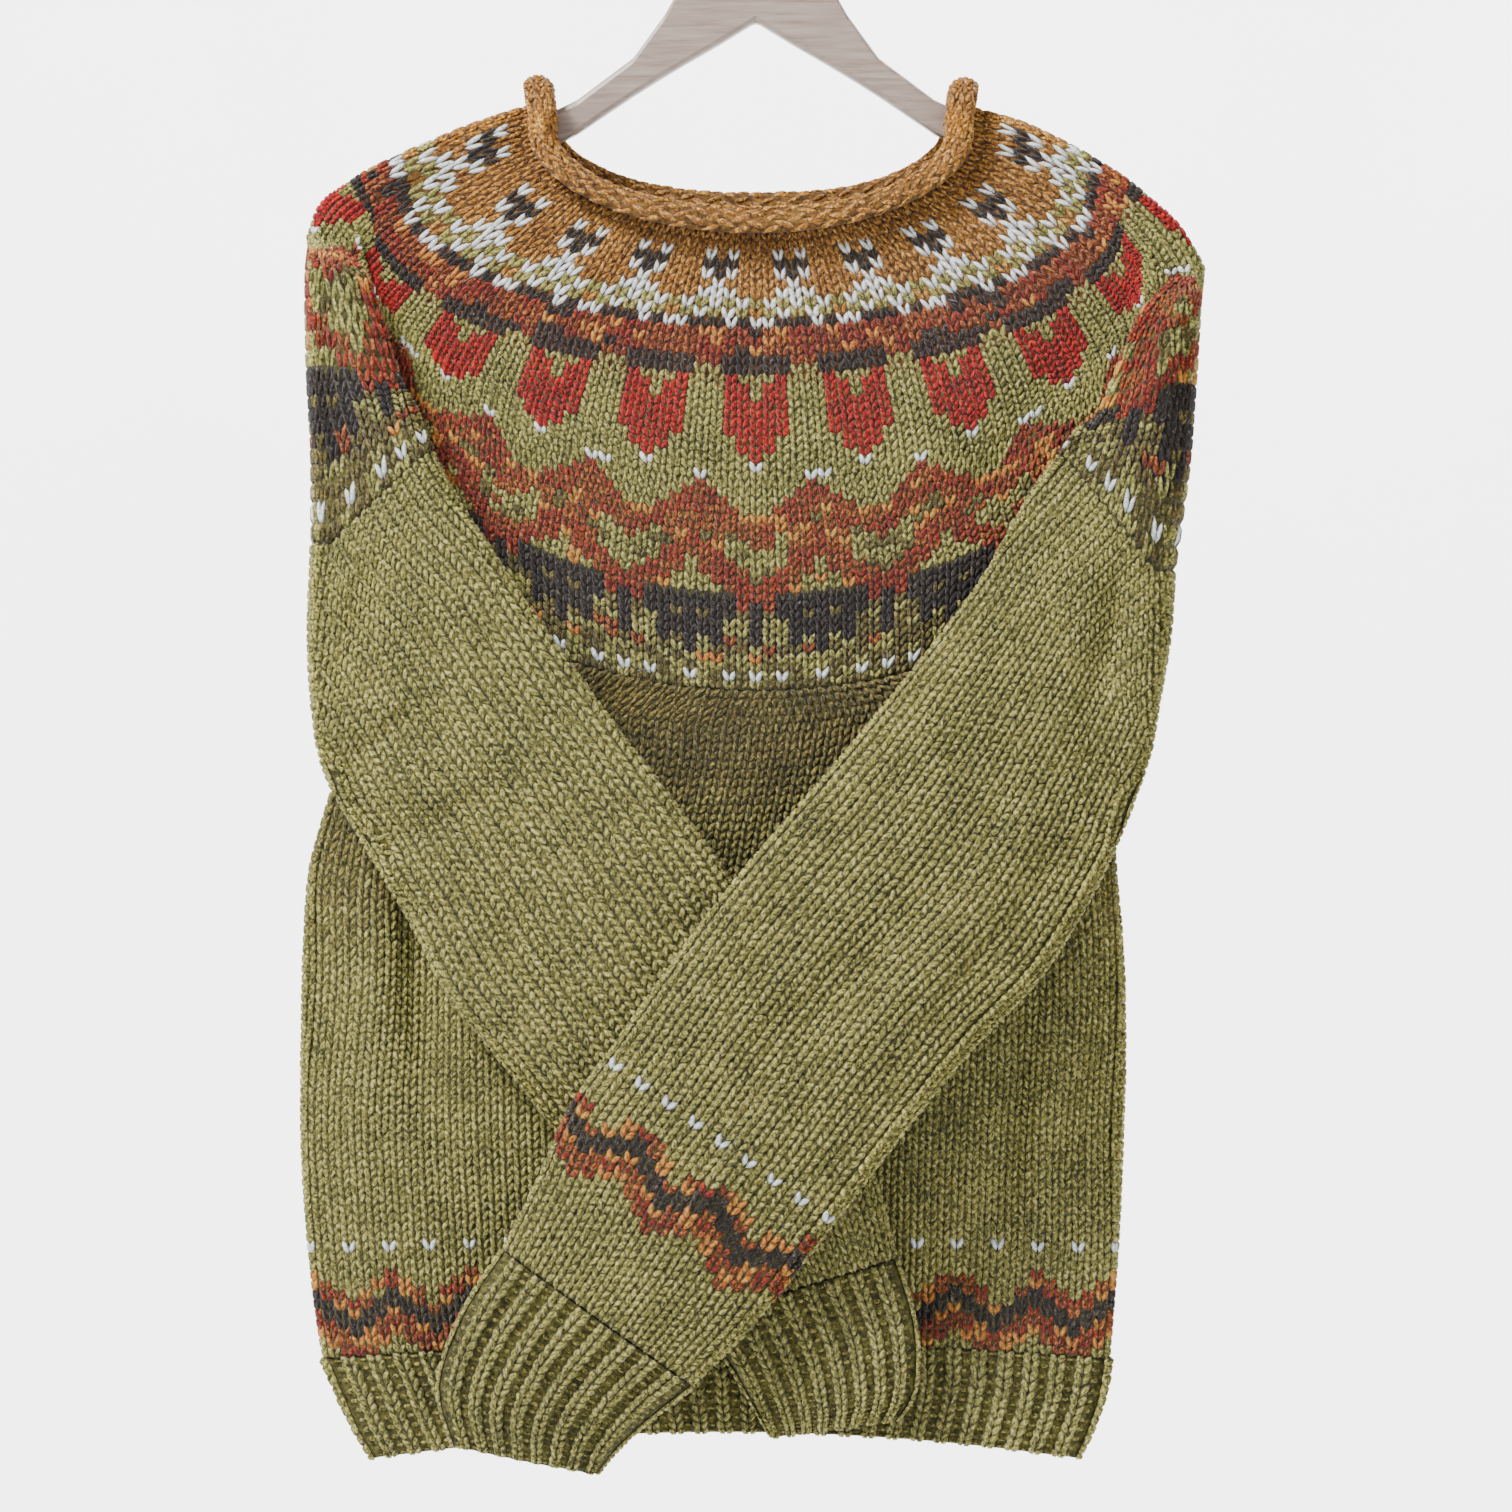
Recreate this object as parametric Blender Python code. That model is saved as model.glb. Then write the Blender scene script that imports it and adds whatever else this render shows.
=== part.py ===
"""A hand-knitted fair isle jumper with a round yoke, hung on a wooden coat hanger.

The sleeves are folded across the front, the one at +X over the one at -X.
The origin is the inside top of the hanger's hook, where a rail holds it.
Sizes are in metres, +Z is up and the front faces -Y.
"""
import math

import bmesh
import bpy
from mathutils import Vector

WALL = 0.0028                # thickness of the knitted cloth
SEAM_GAP = 0.0005            # left between pieces that are knitted on
FRONT_DEPTH = 0.021          # the front's cloth from the middle plane
BACK_DEPTH = 0.021
SIDE_DEPTH = 0.013           # the same at the sides, where the cloth turns
SLEEVE_BACK = 0.030          # a folded sleeve's rear layer, in front of the middle plane
SLEEVE_FRONT = 0.046
LIFT = 0.027                 # how far the upper sleeve rises over the lower one
ROLL_RADIUS = 0.0064         # the neck's roll, to the middle of its cloth

YOKE_EXTRA_ROWS = (0, 0, 0, 0, 1, 1, 1, 0, 0)   # between the levels, on a smooth curve
YOKE_SPLIT = 6               # the ring at which a long tube is parted into two simpler solids
SLEEVE_SPLIT = 5
HEM_RIBS = 63
CUFF_RIBS = 18
RIB_HEIGHT = 0.0016

HOOK_TOP = 0.1275            # the tables below count their drops from this far under the rail
FRONT_STEPS = 10
TUCK_STEPS = 2
LAYER_STEPS = 3
TOP_STEPS = 3
OUTER_LAYER_STEPS = 4
OUTER_STEPS = 5
BACK_STEPS = 10
FOLD_STEPS = TUCK_STEPS + LAYER_STEPS + TOP_STEPS + OUTER_LAYER_STEPS + OUTER_STEPS
GUSSET_STEPS = 5
TOP_RADIUS = (SLEEVE_FRONT - SLEEVE_BACK) / 2.0
OUTER_RADIUS = 0.011
TUCK_RADIUS = 0.0052
SHOULDER_RISE = 0.009
RUN_STEPS = 8                # of a plain level's points, on the run up to its turn
FIRST_STEP = 0.008           # forward, for each layer of a fold that has just begun
EDGE_DEPTH = 0.0175          # of front and back where a sleeve's fold begins
SLEEVE_TUCK_DEPTH = 0.0245   # the same on the sleeve itself, clear of the body
UNDER_ARM_DROP = 0.006       # of the body's edge under the arm, where sleeve and body part
GUSSET_DROP = 0.002          # of a sleeve's own edge there, in its middle
CROWN = 0.004                # how far a sleeve's front layer swells in its middle
ROLL_TURN = math.radians(232.0)
ROLL_STEPS = 6
BAND_HEIGHT = 0.004          # the neckband's straight part under its roll

HANGER_THICKNESS = 0.012
HOOK_WIRE = 0.0042
HOOK_RADIUS = 0.021

# The yoke, a row for each level from the neck down. centre is the front's middle, back the back's.
# rim is where a level meets the shoulder line. From the shoulder tip down, a level folds forward
# into the sleeve: tuck is its hidden fold, top the sleeve's upper fold, outer its outer fold, fold
# the share to which they are formed, and arc how many degrees of a quarter ellipse the front
# and the back run through. A level with no tuck yet turns plainly: lean is how many degrees its
# edge tips outward from straight up, and run how many millimetres the points take up to it.
# Places are (x, drop) in millimetres from the middle and below the table's zero.
LEFT_YOKE = (
    dict(centre=115, back=103, lean=0, run=6, rim=(-112, 50)),
    dict(centre=135, back=122, lean=5, run=6, rim=(-140, 59)),
    dict(centre=166, back=152, lean=15, run=7, rim=(-189, 80)),
    dict(centre=186, back=172, lean=30, run=9, rim=(-204, 89)),
    dict(centre=213, back=198, lean=50, run=12, rim=(-217, 98)),
    dict(centre=240, back=225, arc=84, lean=80, run=14.5, outer=(-225, 118)),
    dict(centre=270, back=255, arc=77, fold=0.45, tuck=(-207, 153), top=(-194.5, 139.5), outer=(-225, 134.5)),
    dict(centre=300, back=286, arc=70, fold=1.00, tuck=(-213, 178), top=(-177.5, 191.5), outer=(-224, 190)),
    dict(centre=325, back=314, arc=62, fold=1.00, tuck=(-212, 215), top=(-170, 205), outer=(-222, 228)),
    dict(centre=345, back=338, arc=55, fold=1.00, tuck=(-211, 255), top=(-162, 226), outer=(-222, 272)),
)
RIGHT_YOKE = (
    dict(centre=115, back=103, lean=0, run=6, rim=(107, 51)),
    dict(centre=135, back=122, lean=5, run=6, rim=(139, 61)),
    dict(centre=166, back=152, lean=15, run=7, rim=(178, 82)),
    dict(centre=186, back=172, lean=30, run=9, rim=(194, 94)),
    dict(centre=213, back=198, lean=50, run=12, rim=(210, 108)),
    dict(centre=240, back=225, arc=84, lean=80, run=14.5, outer=(225, 134)),
    dict(centre=270, back=255, arc=77, fold=0.45, tuck=(205, 171), top=(192.5, 157.5), outer=(222, 152.5)),
    dict(centre=300, back=286, arc=70, fold=1.00, tuck=(208, 192), top=(170.5, 209.5), outer=(219, 198)),
    dict(centre=325, back=314, arc=62, fold=1.00, tuck=(205, 228), top=(161, 215), outer=(216, 236)),
    dict(centre=345, back=338, arc=55, fold=1.00, tuck=(197, 268), top=(152, 228), outer=(209, 285)),
)

# The sleeves below the yoke: the two folds of each ring, (x, drop) in millimetres. lift is the
# share of LIFT by which the ring stands forward. turn is how far the lower fold has come round.
LEFT_SLEEVE = (
    dict(top=(-150, 250), low=(-223, 318), lift=0.0, turn=0.35),
    dict(top=(-130, 280), low=(-220, 357), lift=0.0, turn=0.7),
    dict(top=(-110, 310), low=(-213, 388), lift=0.0, turn=1.0),
    dict(top=(-70, 365), low=(-190, 428), lift=0.0, turn=1.0),
    dict(top=(-38, 407), low=(-170, 462), lift=0.0, turn=1.0),
    dict(top=(-14, 440), low=(-151, 498), lift=0.0, turn=1.0),
    dict(top=(12, 484), low=(-121, 535), lift=0.0, turn=1.0),
    dict(top=(34, 530), low=(-90, 575), lift=0.0, turn=1.0),
    dict(top=(57, 585), low=(-55, 620), lift=0.0, turn=1.0),
    dict(top=(69, 628), low=(-27, 656), lift=0.0, turn=1.0),
)
RIGHT_SLEEVE = (
    dict(top=(139, 246), low=(206, 320), lift=0.0, turn=0.35),
    dict(top=(124, 272), low=(200, 352), lift=0.05, turn=0.7),
    dict(top=(109, 297), low=(194, 380), lift=0.12, turn=1.0),
    dict(top=(76, 340), low=(176, 426), lift=0.35, turn=1.0),
    dict(top=(38, 386), low=(143, 482), lift=0.75, turn=1.0),
    dict(top=(-9, 440), low=(106, 521), lift=1.0, turn=1.0),
    dict(top=(-39, 480), low=(77, 556), lift=1.0, turn=1.0),
    dict(top=(-64, 515), low=(47, 595), lift=1.0, turn=1.0),
    dict(top=(-90, 551), low=(20, 630), lift=1.0, turn=1.0),
    dict(top=(-106, 587), low=(-8, 664), lift=1.0, turn=1.0),
    dict(top=(-124, 622), low=(-32, 688), lift=0.9, turn=1.0),
)
LEFT_CUFF = (
    dict(top=(69.3, 628.8), low=(-26.6, 656.8), lift=0.0),
    dict(top=(79, 662), low=(-10, 684), lift=0.0),
    dict(top=(79, 693), low=(2, 705), lift=0.0),
    dict(top=(70, 708), low=(9, 717), lift=0.0),
)
RIGHT_CUFF = (
    dict(top=(-124.5, 622.7), low=(-32.5, 688.7), lift=0.898),
    dict(top=(-145, 655), low=(-52, 704), lift=0.75),
    dict(top=(-157, 690), low=(-68, 719), lift=0.55),
    dict(top=(-150, 720), low=(-80, 734), lift=0.4),
)

# The body below the yoke. centre and side are a ring's drops at its middle and at its sides.
BODY = (
    dict(centre=362, side=302, left=-198, right=184),
    dict(centre=378, side=336, left=-199, right=180),
    dict(centre=398, side=368, left=-205, right=178),
    dict(centre=420, side=402, left=-215, right=178),
    dict(centre=446, side=436, left=-224, right=180),
    dict(centre=482, side=478, left=-227, right=184),
    dict(centre=526, side=526, left=-228, right=185),
    dict(centre=572, side=574, left=-228, right=184),
    dict(centre=616, side=620, left=-225, right=182),
    dict(centre=650, side=657, left=-221, right=179),
    dict(centre=672, side=681, left=-217, right=177),
)
HEM = (
    dict(centre=672.6, side=681.6, left=-217, right=177),
    dict(centre=688, side=699, left=-209, right=174),
    dict(centre=704, side=716, left=-201, right=168),
    dict(centre=717, side=731, left=-192, right=161),
)
# The body's largest folds, in millimetres: x and drop are a fold's middle, depth is forward, and
# lean is how far it shifts sideways for each millimetre down. The back has them at half depth.
BODY_FOLDS = (
    dict(x=-165, drop=470, width=16, length=110, depth=-6.0, lean=0.10),
    dict(x=148, drop=510, width=18, length=120, depth=5.0, lean=-0.20),
    dict(x=-95, drop=640, width=22, length=90, depth=3.5, lean=0.05),
    dict(x=105, drop=640, width=24, length=90, depth=-3.5, lean=0.0),
)
# The hanger's arm, mirrored: x from the middle, the upper edge's drop and the wood's height there.
HANGER_ARM = (
    dict(x=0, drop=-42, height=49.5),
    dict(x=17, drop=-39, height=57),
    dict(x=36, drop=-14, height=43),
    dict(x=46, drop=4, height=31),
    dict(x=62, drop=26, height=19),
    dict(x=90, drop=47, height=17),
    dict(x=103, drop=53.3, height=17),
    dict(x=112, drop=55.4, height=18),
    dict(x=140, drop=64.5, height=18),
    dict(x=165, drop=78.5, height=16),
    dict(x=185, drop=91.8, height=14),
    dict(x=200, drop=106, height=8),
)
# The hook's wire, x and z in millimetres, up to where its round top begins.
HOOK_NECK = (
    (0.0, -85.2),
    (0.0, -70.0),
    (0.6, -61.0),
    (3.2, -52.5),
    (8.5, -44.5),
    (14.3, -36.5),
    (18.9, -28.0),
)
HOOK_END_ANGLE = math.radians(205.0)


def clear_scene():
    for item in list(bpy.data.objects):
        bpy.data.objects.remove(item, do_unlink=True)


def material(name, colour, roughness, metallic=0.0):
    made = bpy.data.materials.new(name)
    made.use_nodes = True
    shader = made.node_tree.nodes["Principled BSDF"]
    shader.inputs["Base Color"].default_value = (*colour, 1.0)
    shader.inputs["Roughness"].default_value = roughness
    shader.inputs["Metallic"].default_value = metallic
    return made


def place(x_mm, drop_mm, y):
    return Vector((x_mm / 1000.0, y, -HOOK_TOP - drop_mm / 1000.0))


def turn(start, end, out, radius, steps):
    """Points from start round to end, standing out sideways by radius in the middle."""
    points = []
    for step in range(steps):
        share = step / steps
        across = (1.0 - math.cos(math.pi * share)) / 2.0
        points.append(start.lerp(end, across) + out * radius * math.sin(math.pi * share))
    return points


def straight(start, end, steps, crown=0.0):
    """Points from start towards end, standing forward by crown in the middle."""
    points = []
    for step in range(steps):
        share = step / steps
        point = start.lerp(end, share)
        point.y -= crown * math.sin(math.pi * share)
        points.append(point)
    return points


def panel(middle_drop, edge, middle_y, steps, arc=90.0):
    """Points of a level across one half of the front or back, from the middle to the edge."""
    last = math.radians(arc)
    points = []
    for step in range(steps):
        angle = last * step / steps
        across = math.sin(angle) / math.sin(last)
        rise = (1.0 - math.cos(angle)) / (1.0 - math.cos(last))
        point = place(0.0, middle_drop, middle_y)
        point.x = edge.x * across
        point.z += (edge.z - point.z) * rise
        point.y += (edge.y - middle_y) * across ** 4
        points.append(point)
    return points


def flat_unit(vector):
    return Vector((vector.x, 0.0, vector.z)).normalized()


def folded_side(tuck, top, outer, lift=0.0, tuck_depth=EDGE_DEPTH, fold=1.0):
    """A level's points from the front's edge round the sleeve's folds to the back's edge."""
    first_y = tuck_depth + FIRST_STEP
    back_y = -first_y - (SLEEVE_BACK + lift - first_y) * fold
    first_y += 2.0 * FIRST_STEP
    front_y = -first_y - (SLEEVE_FRONT + lift - first_y) * fold
    top_radius = (back_y - front_y) / 2.0
    inward = flat_unit(place(*top, 0.0) - place(*outer, 0.0))
    sideways = Vector((math.copysign(1.0, outer[0]), 0.0, 0.0))
    tuck_near = place(*tuck, -tuck_depth)
    tuck_far = place(*tuck, back_y)
    top_rear = place(*top, back_y) - inward * top_radius
    top_near = place(*top, front_y) - inward * top_radius
    outer_near = place(*outer, front_y) - sideways * OUTER_RADIUS
    outer_far = place(*outer, EDGE_DEPTH) - sideways * OUTER_RADIUS
    points = turn(tuck_near, tuck_far, sideways, TUCK_RADIUS * fold, TUCK_STEPS)
    points += straight(tuck_far, top_rear, LAYER_STEPS)
    points += turn(top_rear, top_near, inward, top_radius, TOP_STEPS)
    points += straight(top_near, outer_near, OUTER_LAYER_STEPS, CROWN * fold)
    points += turn(outer_near, outer_far, sideways, OUTER_RADIUS, OUTER_STEPS)
    return points, outer_far


def plain_side(edge, lean, run, rise, depth):
    """A level's points round the shoulder: a straight run where the fold will be, then the turn."""
    angle = math.radians(lean)
    out = Vector((math.copysign(math.sin(angle), edge[0]), 0.0, math.cos(angle)))
    near = place(*edge, -depth) - out * rise
    far = place(*edge, depth) - out * rise
    points = straight(near - out * run * 0.001, near, RUN_STEPS)
    turn_steps = FOLD_STEPS - RUN_STEPS
    for step in range(turn_steps):
        share = step / turn_steps
        across = (1.0 - math.cos(math.pi * share)) / 2.0
        points.append(near.lerp(far, across) + out * rise * math.sin(math.pi * share))
    return points, far


def yoke_half(level):
    """Half a level, from the middle of the front to just before the middle of the back."""
    if "rim" in level:
        rim = level["rim"]
        side, far = plain_side(rim, level["lean"], level["run"], SHOULDER_RISE, SIDE_DEPTH)
    elif "lean" in level:
        outer = level["outer"]
        side, far = plain_side(outer, level["lean"], level["run"], OUTER_RADIUS, EDGE_DEPTH)
    else:
        side, far = folded_side(level["tuck"], level["top"], level["outer"], fold=level["fold"])
    arc = level.get("arc", 90.0)
    front = panel(level["centre"], side[0], -FRONT_DEPTH, FRONT_STEPS, arc)
    back = panel(level["back"], far, BACK_DEPTH, BACK_STEPS, arc)
    return front, side + [far], back


def join_halves(left, right):
    """The whole level, from the front's middle by the left side to the back and round again."""
    left_front, left_side, left_back = left
    right_front, right_side, right_back = right
    row = list(left_front) + list(left_side)
    row += list(reversed(left_back[1:]))
    row.append((left_back[0] + right_back[0]) / 2.0)
    row += list(right_back[1:])
    row += list(reversed(right_side))
    row += list(reversed(right_front[1:]))
    return row


def yoke_levels():
    rows = []
    for left, right in zip(LEFT_YOKE, RIGHT_YOKE):
        rows.append(join_halves(yoke_half(left), yoke_half(right)))
    return rows


def smooth_between(rows, extra):
    """Adds rows on a smooth curve through the given ones: extra[i] of them after row i."""
    result = []
    for index, row in enumerate(rows[:-1]):
        result.append(row)
        before = rows[max(index - 1, 0)]
        after = rows[index + 1]
        beyond = rows[min(index + 2, len(rows) - 1)]
        for step in range(1, extra[index] + 1):
            share = step / (extra[index] + 1)
            between = []
            for a, b, c, d in zip(before, row, after, beyond):
                slope = (c - a) * 0.5
                next_slope = (d - b) * 0.5
                square = share * share
                cube = square * share
                point = b * (2 * cube - 3 * square + 1) + c * (3 * square - 2 * cube)
                point += slope * (cube - 2 * square + share) + next_slope * (cube - square)
                between.append(point)
            result.append(between)
    result.append(rows[-1])
    return result


def sleeve_ring(ring):
    """A closed ring of a sleeve: the yoke's folds above, and a flat tube lower down."""
    side = math.copysign(1.0, 1.0 if ring["sleeve"] == "right" else -1.0)
    lift = LIFT * ring["lift"]
    top, low = ring["top"], ring["low"]
    back_y = -SLEEVE_BACK - lift
    front_y = -SLEEVE_FRONT - lift
    inward = flat_unit(place(*top, 0.0) - place(*low, 0.0))
    top_rear = place(*top, back_y) - inward * TOP_RADIUS
    top_near = place(*top, front_y) - inward * TOP_RADIUS
    low_rear = place(*low, back_y) + inward * TOP_RADIUS
    low_near = place(*low, front_y) + inward * TOP_RADIUS
    start = low_rear.lerp(top_rear, 0.3)
    flat = straight(start, top_rear, TUCK_STEPS + LAYER_STEPS)
    flat += turn(top_rear, top_near, inward, TOP_RADIUS, TOP_STEPS)
    flat += straight(top_near, low_near, OUTER_LAYER_STEPS, CROWN)
    flat += turn(low_near, low_rear, -inward, TOP_RADIUS, OUTER_STEPS)
    flat += straight(low_rear, start, GUSSET_STEPS)
    share = ring.get("turn", 1.0)
    if share >= 1.0:
        return flat
    tuck = (low[0] - side * 11.0, low[1] - 16.0)
    folded, far = folded_side(tuck, top, low, lift, SLEEVE_TUCK_DEPTH)
    folded += turn(far, folded[0], Vector((side, 0.0, 0.0)), 0.0, GUSSET_STEPS)
    return [a.lerp(b, share) for a, b in zip(folded, flat)]


def sleeve_rows(table, sleeve):
    return [sleeve_ring(dict(ring, sleeve=sleeve)) for ring in table]


def first_sleeve_ring(yoke_row, sleeve):
    """The sleeve's ring at the yoke's last level, a seam's gap below it."""
    if sleeve == "left":
        begin = FRONT_STEPS
        fold = yoke_row[begin:begin + FOLD_STEPS + 1]
    else:
        begin = len(yoke_row) - FRONT_STEPS + 1 - (FOLD_STEPS + 1)
        fold = list(reversed(yoke_row[begin:begin + FOLD_STEPS + 1]))
    ring = [point.copy() for point in fold[:-1]]
    ring += turn(fold[-1], fold[0], Vector((0.0, 0.0, -1.0)), GUSSET_DROP, GUSSET_STEPS)
    return ring


def body_fold(x, drop):
    """How far the body's cloth stands forward in its folds, in metres."""
    total = 0.0
    for fold in BODY_FOLDS:
        across = (x - fold["x"] - fold["lean"] * (drop - fold["drop"])) / fold["width"]
        along = (drop - fold["drop"]) / fold["length"]
        total += fold["depth"] * math.exp(-across * across - along * along)
    return total / 1000.0


def body_ring(level, count, folds=1.0):
    """A closed ring of the body: full in the middle and thin at its sides."""
    centre_x = (level["left"] + level["right"]) / 2.0
    half_width = (level["right"] - level["left"]) / 2.0
    row = []
    for step in range(count):
        angle = 2.0 * math.pi * step / count
        sine = math.sin(angle)
        cosine = math.cos(angle)
        x = centre_x - half_width * math.copysign(abs(sine) ** 0.86, sine)
        edge = ((x - centre_x) / half_width) ** 2
        drop = level["centre"] + (level["side"] - level["centre"]) * edge
        depth = FRONT_DEPTH * abs(cosine) ** 0.32
        front = cosine > 0.0
        y = -depth if front else depth
        fold = body_fold(x, drop) * folds * abs(cosine) ** 0.5
        y -= fold if front else -0.5 * fold
        row.append(place(x, drop, y))
    return row


def first_body_ring(yoke_row):
    """The body's ring at the yoke's last level: its front and back, joined under the arms."""
    count = len(yoke_row)
    side_end = FRONT_STEPS + FOLD_STEPS
    row = yoke_row[:FRONT_STEPS]
    row += under_arm(yoke_row, FRONT_STEPS, -1, side_end, 1)
    row += yoke_row[side_end + 1:count - side_end]
    row += under_arm(yoke_row, count - side_end, -1, count - FRONT_STEPS, 1)
    row += yoke_row[count - FRONT_STEPS + 1:]
    return row


def under_arm(yoke_row, first, first_step, last, last_step):
    """Three points that join front and back under an arm, just inside the sleeve's folds."""
    near = yoke_row[first].lerp(yoke_row[first + first_step], 0.35)
    far = yoke_row[last].lerp(yoke_row[last + last_step], 0.35)
    near, far = lowered([near, far], UNDER_ARM_DROP / 2.0)
    middle = lowered([(near + far) / 2.0], UNDER_ARM_DROP / 2.0)[0]
    return [near, middle, far]


def lowered(row, amount):
    return [point - Vector((0.0, 0.0, amount)) for point in row]


def even(row, count):
    """The closed ring again, through count points an even way apart along it."""
    lengths = [0.0]
    closed = list(row) + [row[0]]
    for a, b in zip(closed[:-1], closed[1:]):
        lengths.append(lengths[-1] + (b - a).length)
    points = []
    segment = 0
    for step in range(count):
        target = lengths[-1] * step / count
        while lengths[segment + 1] < target:
            segment += 1
        run = lengths[segment + 1] - lengths[segment]
        points.append(closed[segment].lerp(closed[segment + 1], (target - lengths[segment]) / run))
    return points


def normals_of(rows):
    """Outward directions of a tube whose rings run from the front round by -X, top ring first."""
    count = len(rows[0])
    grid = []
    for i, row in enumerate(rows):
        above = rows[max(i - 1, 0)]
        below = rows[min(i + 1, len(rows) - 1)]
        line = []
        for j in range(count):
            along = row[(j + 1) % count] - row[j - 1]
            down = below[j] - above[j]
            line.append(along.cross(down).normalized())
        grid.append(line)
    return grid


def new_object(name, mesh_data, finish):
    mesh = bpy.data.meshes.new(name)
    mesh_data.to_mesh(mesh)
    mesh_data.free()
    mesh.materials.append(finish)
    made = bpy.data.objects.new(name, mesh)
    bpy.context.scene.collection.objects.link(made)
    return made


def seamed_normals(rows, seam):
    """Outward directions of a tube whose first ring takes its neighbour's, where seam has one."""
    normals = normals_of(rows)
    for j, direction in enumerate(seam):
        if direction:
            normals[0][j] = direction
    return normals


def two_tubes(names, rows, normals, finish, split):
    """One tube of cloth as two solids, a seam's gap apart at the ring whose number is split."""
    cloth_tube(names[0], rows[:split + 1], finish, normals=normals[:split + 1])
    ring = rows[split]
    begun = []
    for j, (point, normal) in enumerate(zip(ring, normals[split])):
        along = ring[(j + 1) % len(ring)] - ring[j - 1]
        begun.append(point + normal.cross(along).normalized() * SEAM_GAP)
    cloth_tube(names[1], [begun] + rows[split + 1:], finish, normals=normals[split:])


def cloth_tube(name, rows, finish, ribs=0, normals=None):
    """A tube of cloth WALL thick, open at both ends. Ribs stand on its outside alone."""
    count = len(rows[0])
    normals = normals or normals_of(rows)
    per_rib = count // ribs if ribs else 0
    data = bmesh.new()
    outer = []
    inner = []
    for row, line in zip(rows, normals):
        outer_line = []
        inner_line = []
        for j, (point, normal) in enumerate(zip(row, line)):
            rib = RIB_HEIGHT if per_rib and j % per_rib in (1, 2) else 0.0
            outer_line.append(data.verts.new(point + normal * (WALL / 2.0 + rib)))
            inner_line.append(data.verts.new(point - normal * WALL / 2.0))
        outer.append(outer_line)
        inner.append(inner_line)
    for i in range(len(rows) - 1):
        for j in range(count):
            k = (j + 1) % count
            data.faces.new((outer[i][j], outer[i][k], outer[i + 1][k], outer[i + 1][j]))
            data.faces.new((inner[i][j], inner[i + 1][j], inner[i + 1][k], inner[i][k]))
    for j in range(count):
        k = (j + 1) % count
        data.faces.new((outer[0][j], inner[0][j], inner[0][k], outer[0][k]))
        data.faces.new((outer[-1][j], outer[-1][k], inner[-1][k], inner[-1][j]))
    bmesh.ops.recalc_face_normals(data, faces=data.faces)
    made = new_object(name, data, finish)
    made.data.shade_smooth()
    return made


def neckband(first_row, second_row, finish):
    """The neckband: a short strip above the yoke that rolls over to the outside."""
    normals = normals_of([first_row, second_row])[0]
    line = [(SEAM_GAP, 0.0, 0.0)]
    for step in range(ROLL_STEPS + 1):
        angle = ROLL_TURN * step / ROLL_STEPS
        up = BAND_HEIGHT + ROLL_RADIUS * math.sin(angle)
        out = ROLL_RADIUS * (1.0 - math.cos(angle))
        line.append((up, out, angle))
    section = []
    for side in (1.0, -1.0):
        edge = []
        for up, out, angle in line:
            toward_up = math.sin(angle + math.pi) * side * WALL / 2.0
            toward_out = math.cos(angle) * side * WALL / 2.0
            edge.append((up + toward_up, out + toward_out))
        section += edge if side > 0.0 else list(reversed(edge))
    data = bmesh.new()
    loops = []
    for point, below, normal in zip(first_row, second_row, normals):
        upward = (point - below).normalized()
        upward = (upward - normal * upward.dot(normal)).normalized()
        loops.append([data.verts.new(point + upward * up + normal * out) for up, out in section])
    for j, loop in enumerate(loops):
        following = loops[(j + 1) % len(loops)]
        for i in range(len(loop)):
            k = (i + 1) % len(loop)
            data.faces.new((loop[i], loop[k], following[k], following[i]))
    bmesh.ops.recalc_face_normals(data, faces=data.faces)
    made = new_object("neckband", data, finish)
    made.data.shade_smooth()
    return made


def hanger_wood(finish):
    """The hanger's arms: one flat bowed piece with rounded edges."""
    stations = [dict(row, x=-row["x"]) for row in reversed(HANGER_ARM[1:])] + list(HANGER_ARM)
    data = bmesh.new()
    rings = []
    half = HANGER_THICKNESS / 2.0
    for row in stations:
        upper = row["drop"]
        lower = row["drop"] + row["height"]
        corners = ((upper, -half), (upper, half), (lower, half), (lower, -half))
        rings.append([data.verts.new(place(row["x"], drop, y)) for drop, y in corners])
    for near, far in zip(rings[:-1], rings[1:]):
        for i in range(4):
            k = (i + 1) % 4
            data.faces.new((near[i], near[k], far[k], far[i]))
    data.faces.new(rings[0])
    data.faces.new(list(reversed(rings[-1])))
    bmesh.ops.recalc_face_normals(data, faces=data.faces)
    made = new_object("hanger_wood", data, finish)
    bevel = made.modifiers.new("Rounded edges", "BEVEL")
    bevel.width = 0.0025
    bevel.segments = 2
    bevel.limit_method = "ANGLE"
    bevel.angle_limit = math.radians(60.0)
    return made


def hanger_hook(finish):
    """The hook: a bent wire that stands in the wood's top."""
    points = [Vector((x / 1000.0, 0.0, z / 1000.0)) for x, z in HOOK_NECK]
    centre_z = HOOK_WIRE / 2.0 - HOOK_RADIUS
    steps = 16
    for step in range(steps + 1):
        angle = HOOK_END_ANGLE * step / steps
        x = HOOK_RADIUS * math.cos(angle)
        points.append(Vector((x, 0.0, centre_z + HOOK_RADIUS * math.sin(angle))))
    curve = bpy.data.curves.new("hanger_hook", "CURVE")
    curve.dimensions = "3D"
    curve.bevel_depth = HOOK_WIRE / 2.0
    curve.bevel_resolution = 2
    curve.use_fill_caps = True
    spline = curve.splines.new("POLY")
    spline.points.add(len(points) - 1)
    for control, point in zip(spline.points, points):
        control.co = (*point, 1.0)
    curve.materials.append(finish)
    made = bpy.data.objects.new("hanger_hook", curve)
    bpy.context.scene.collection.objects.link(made)
    return made


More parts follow.
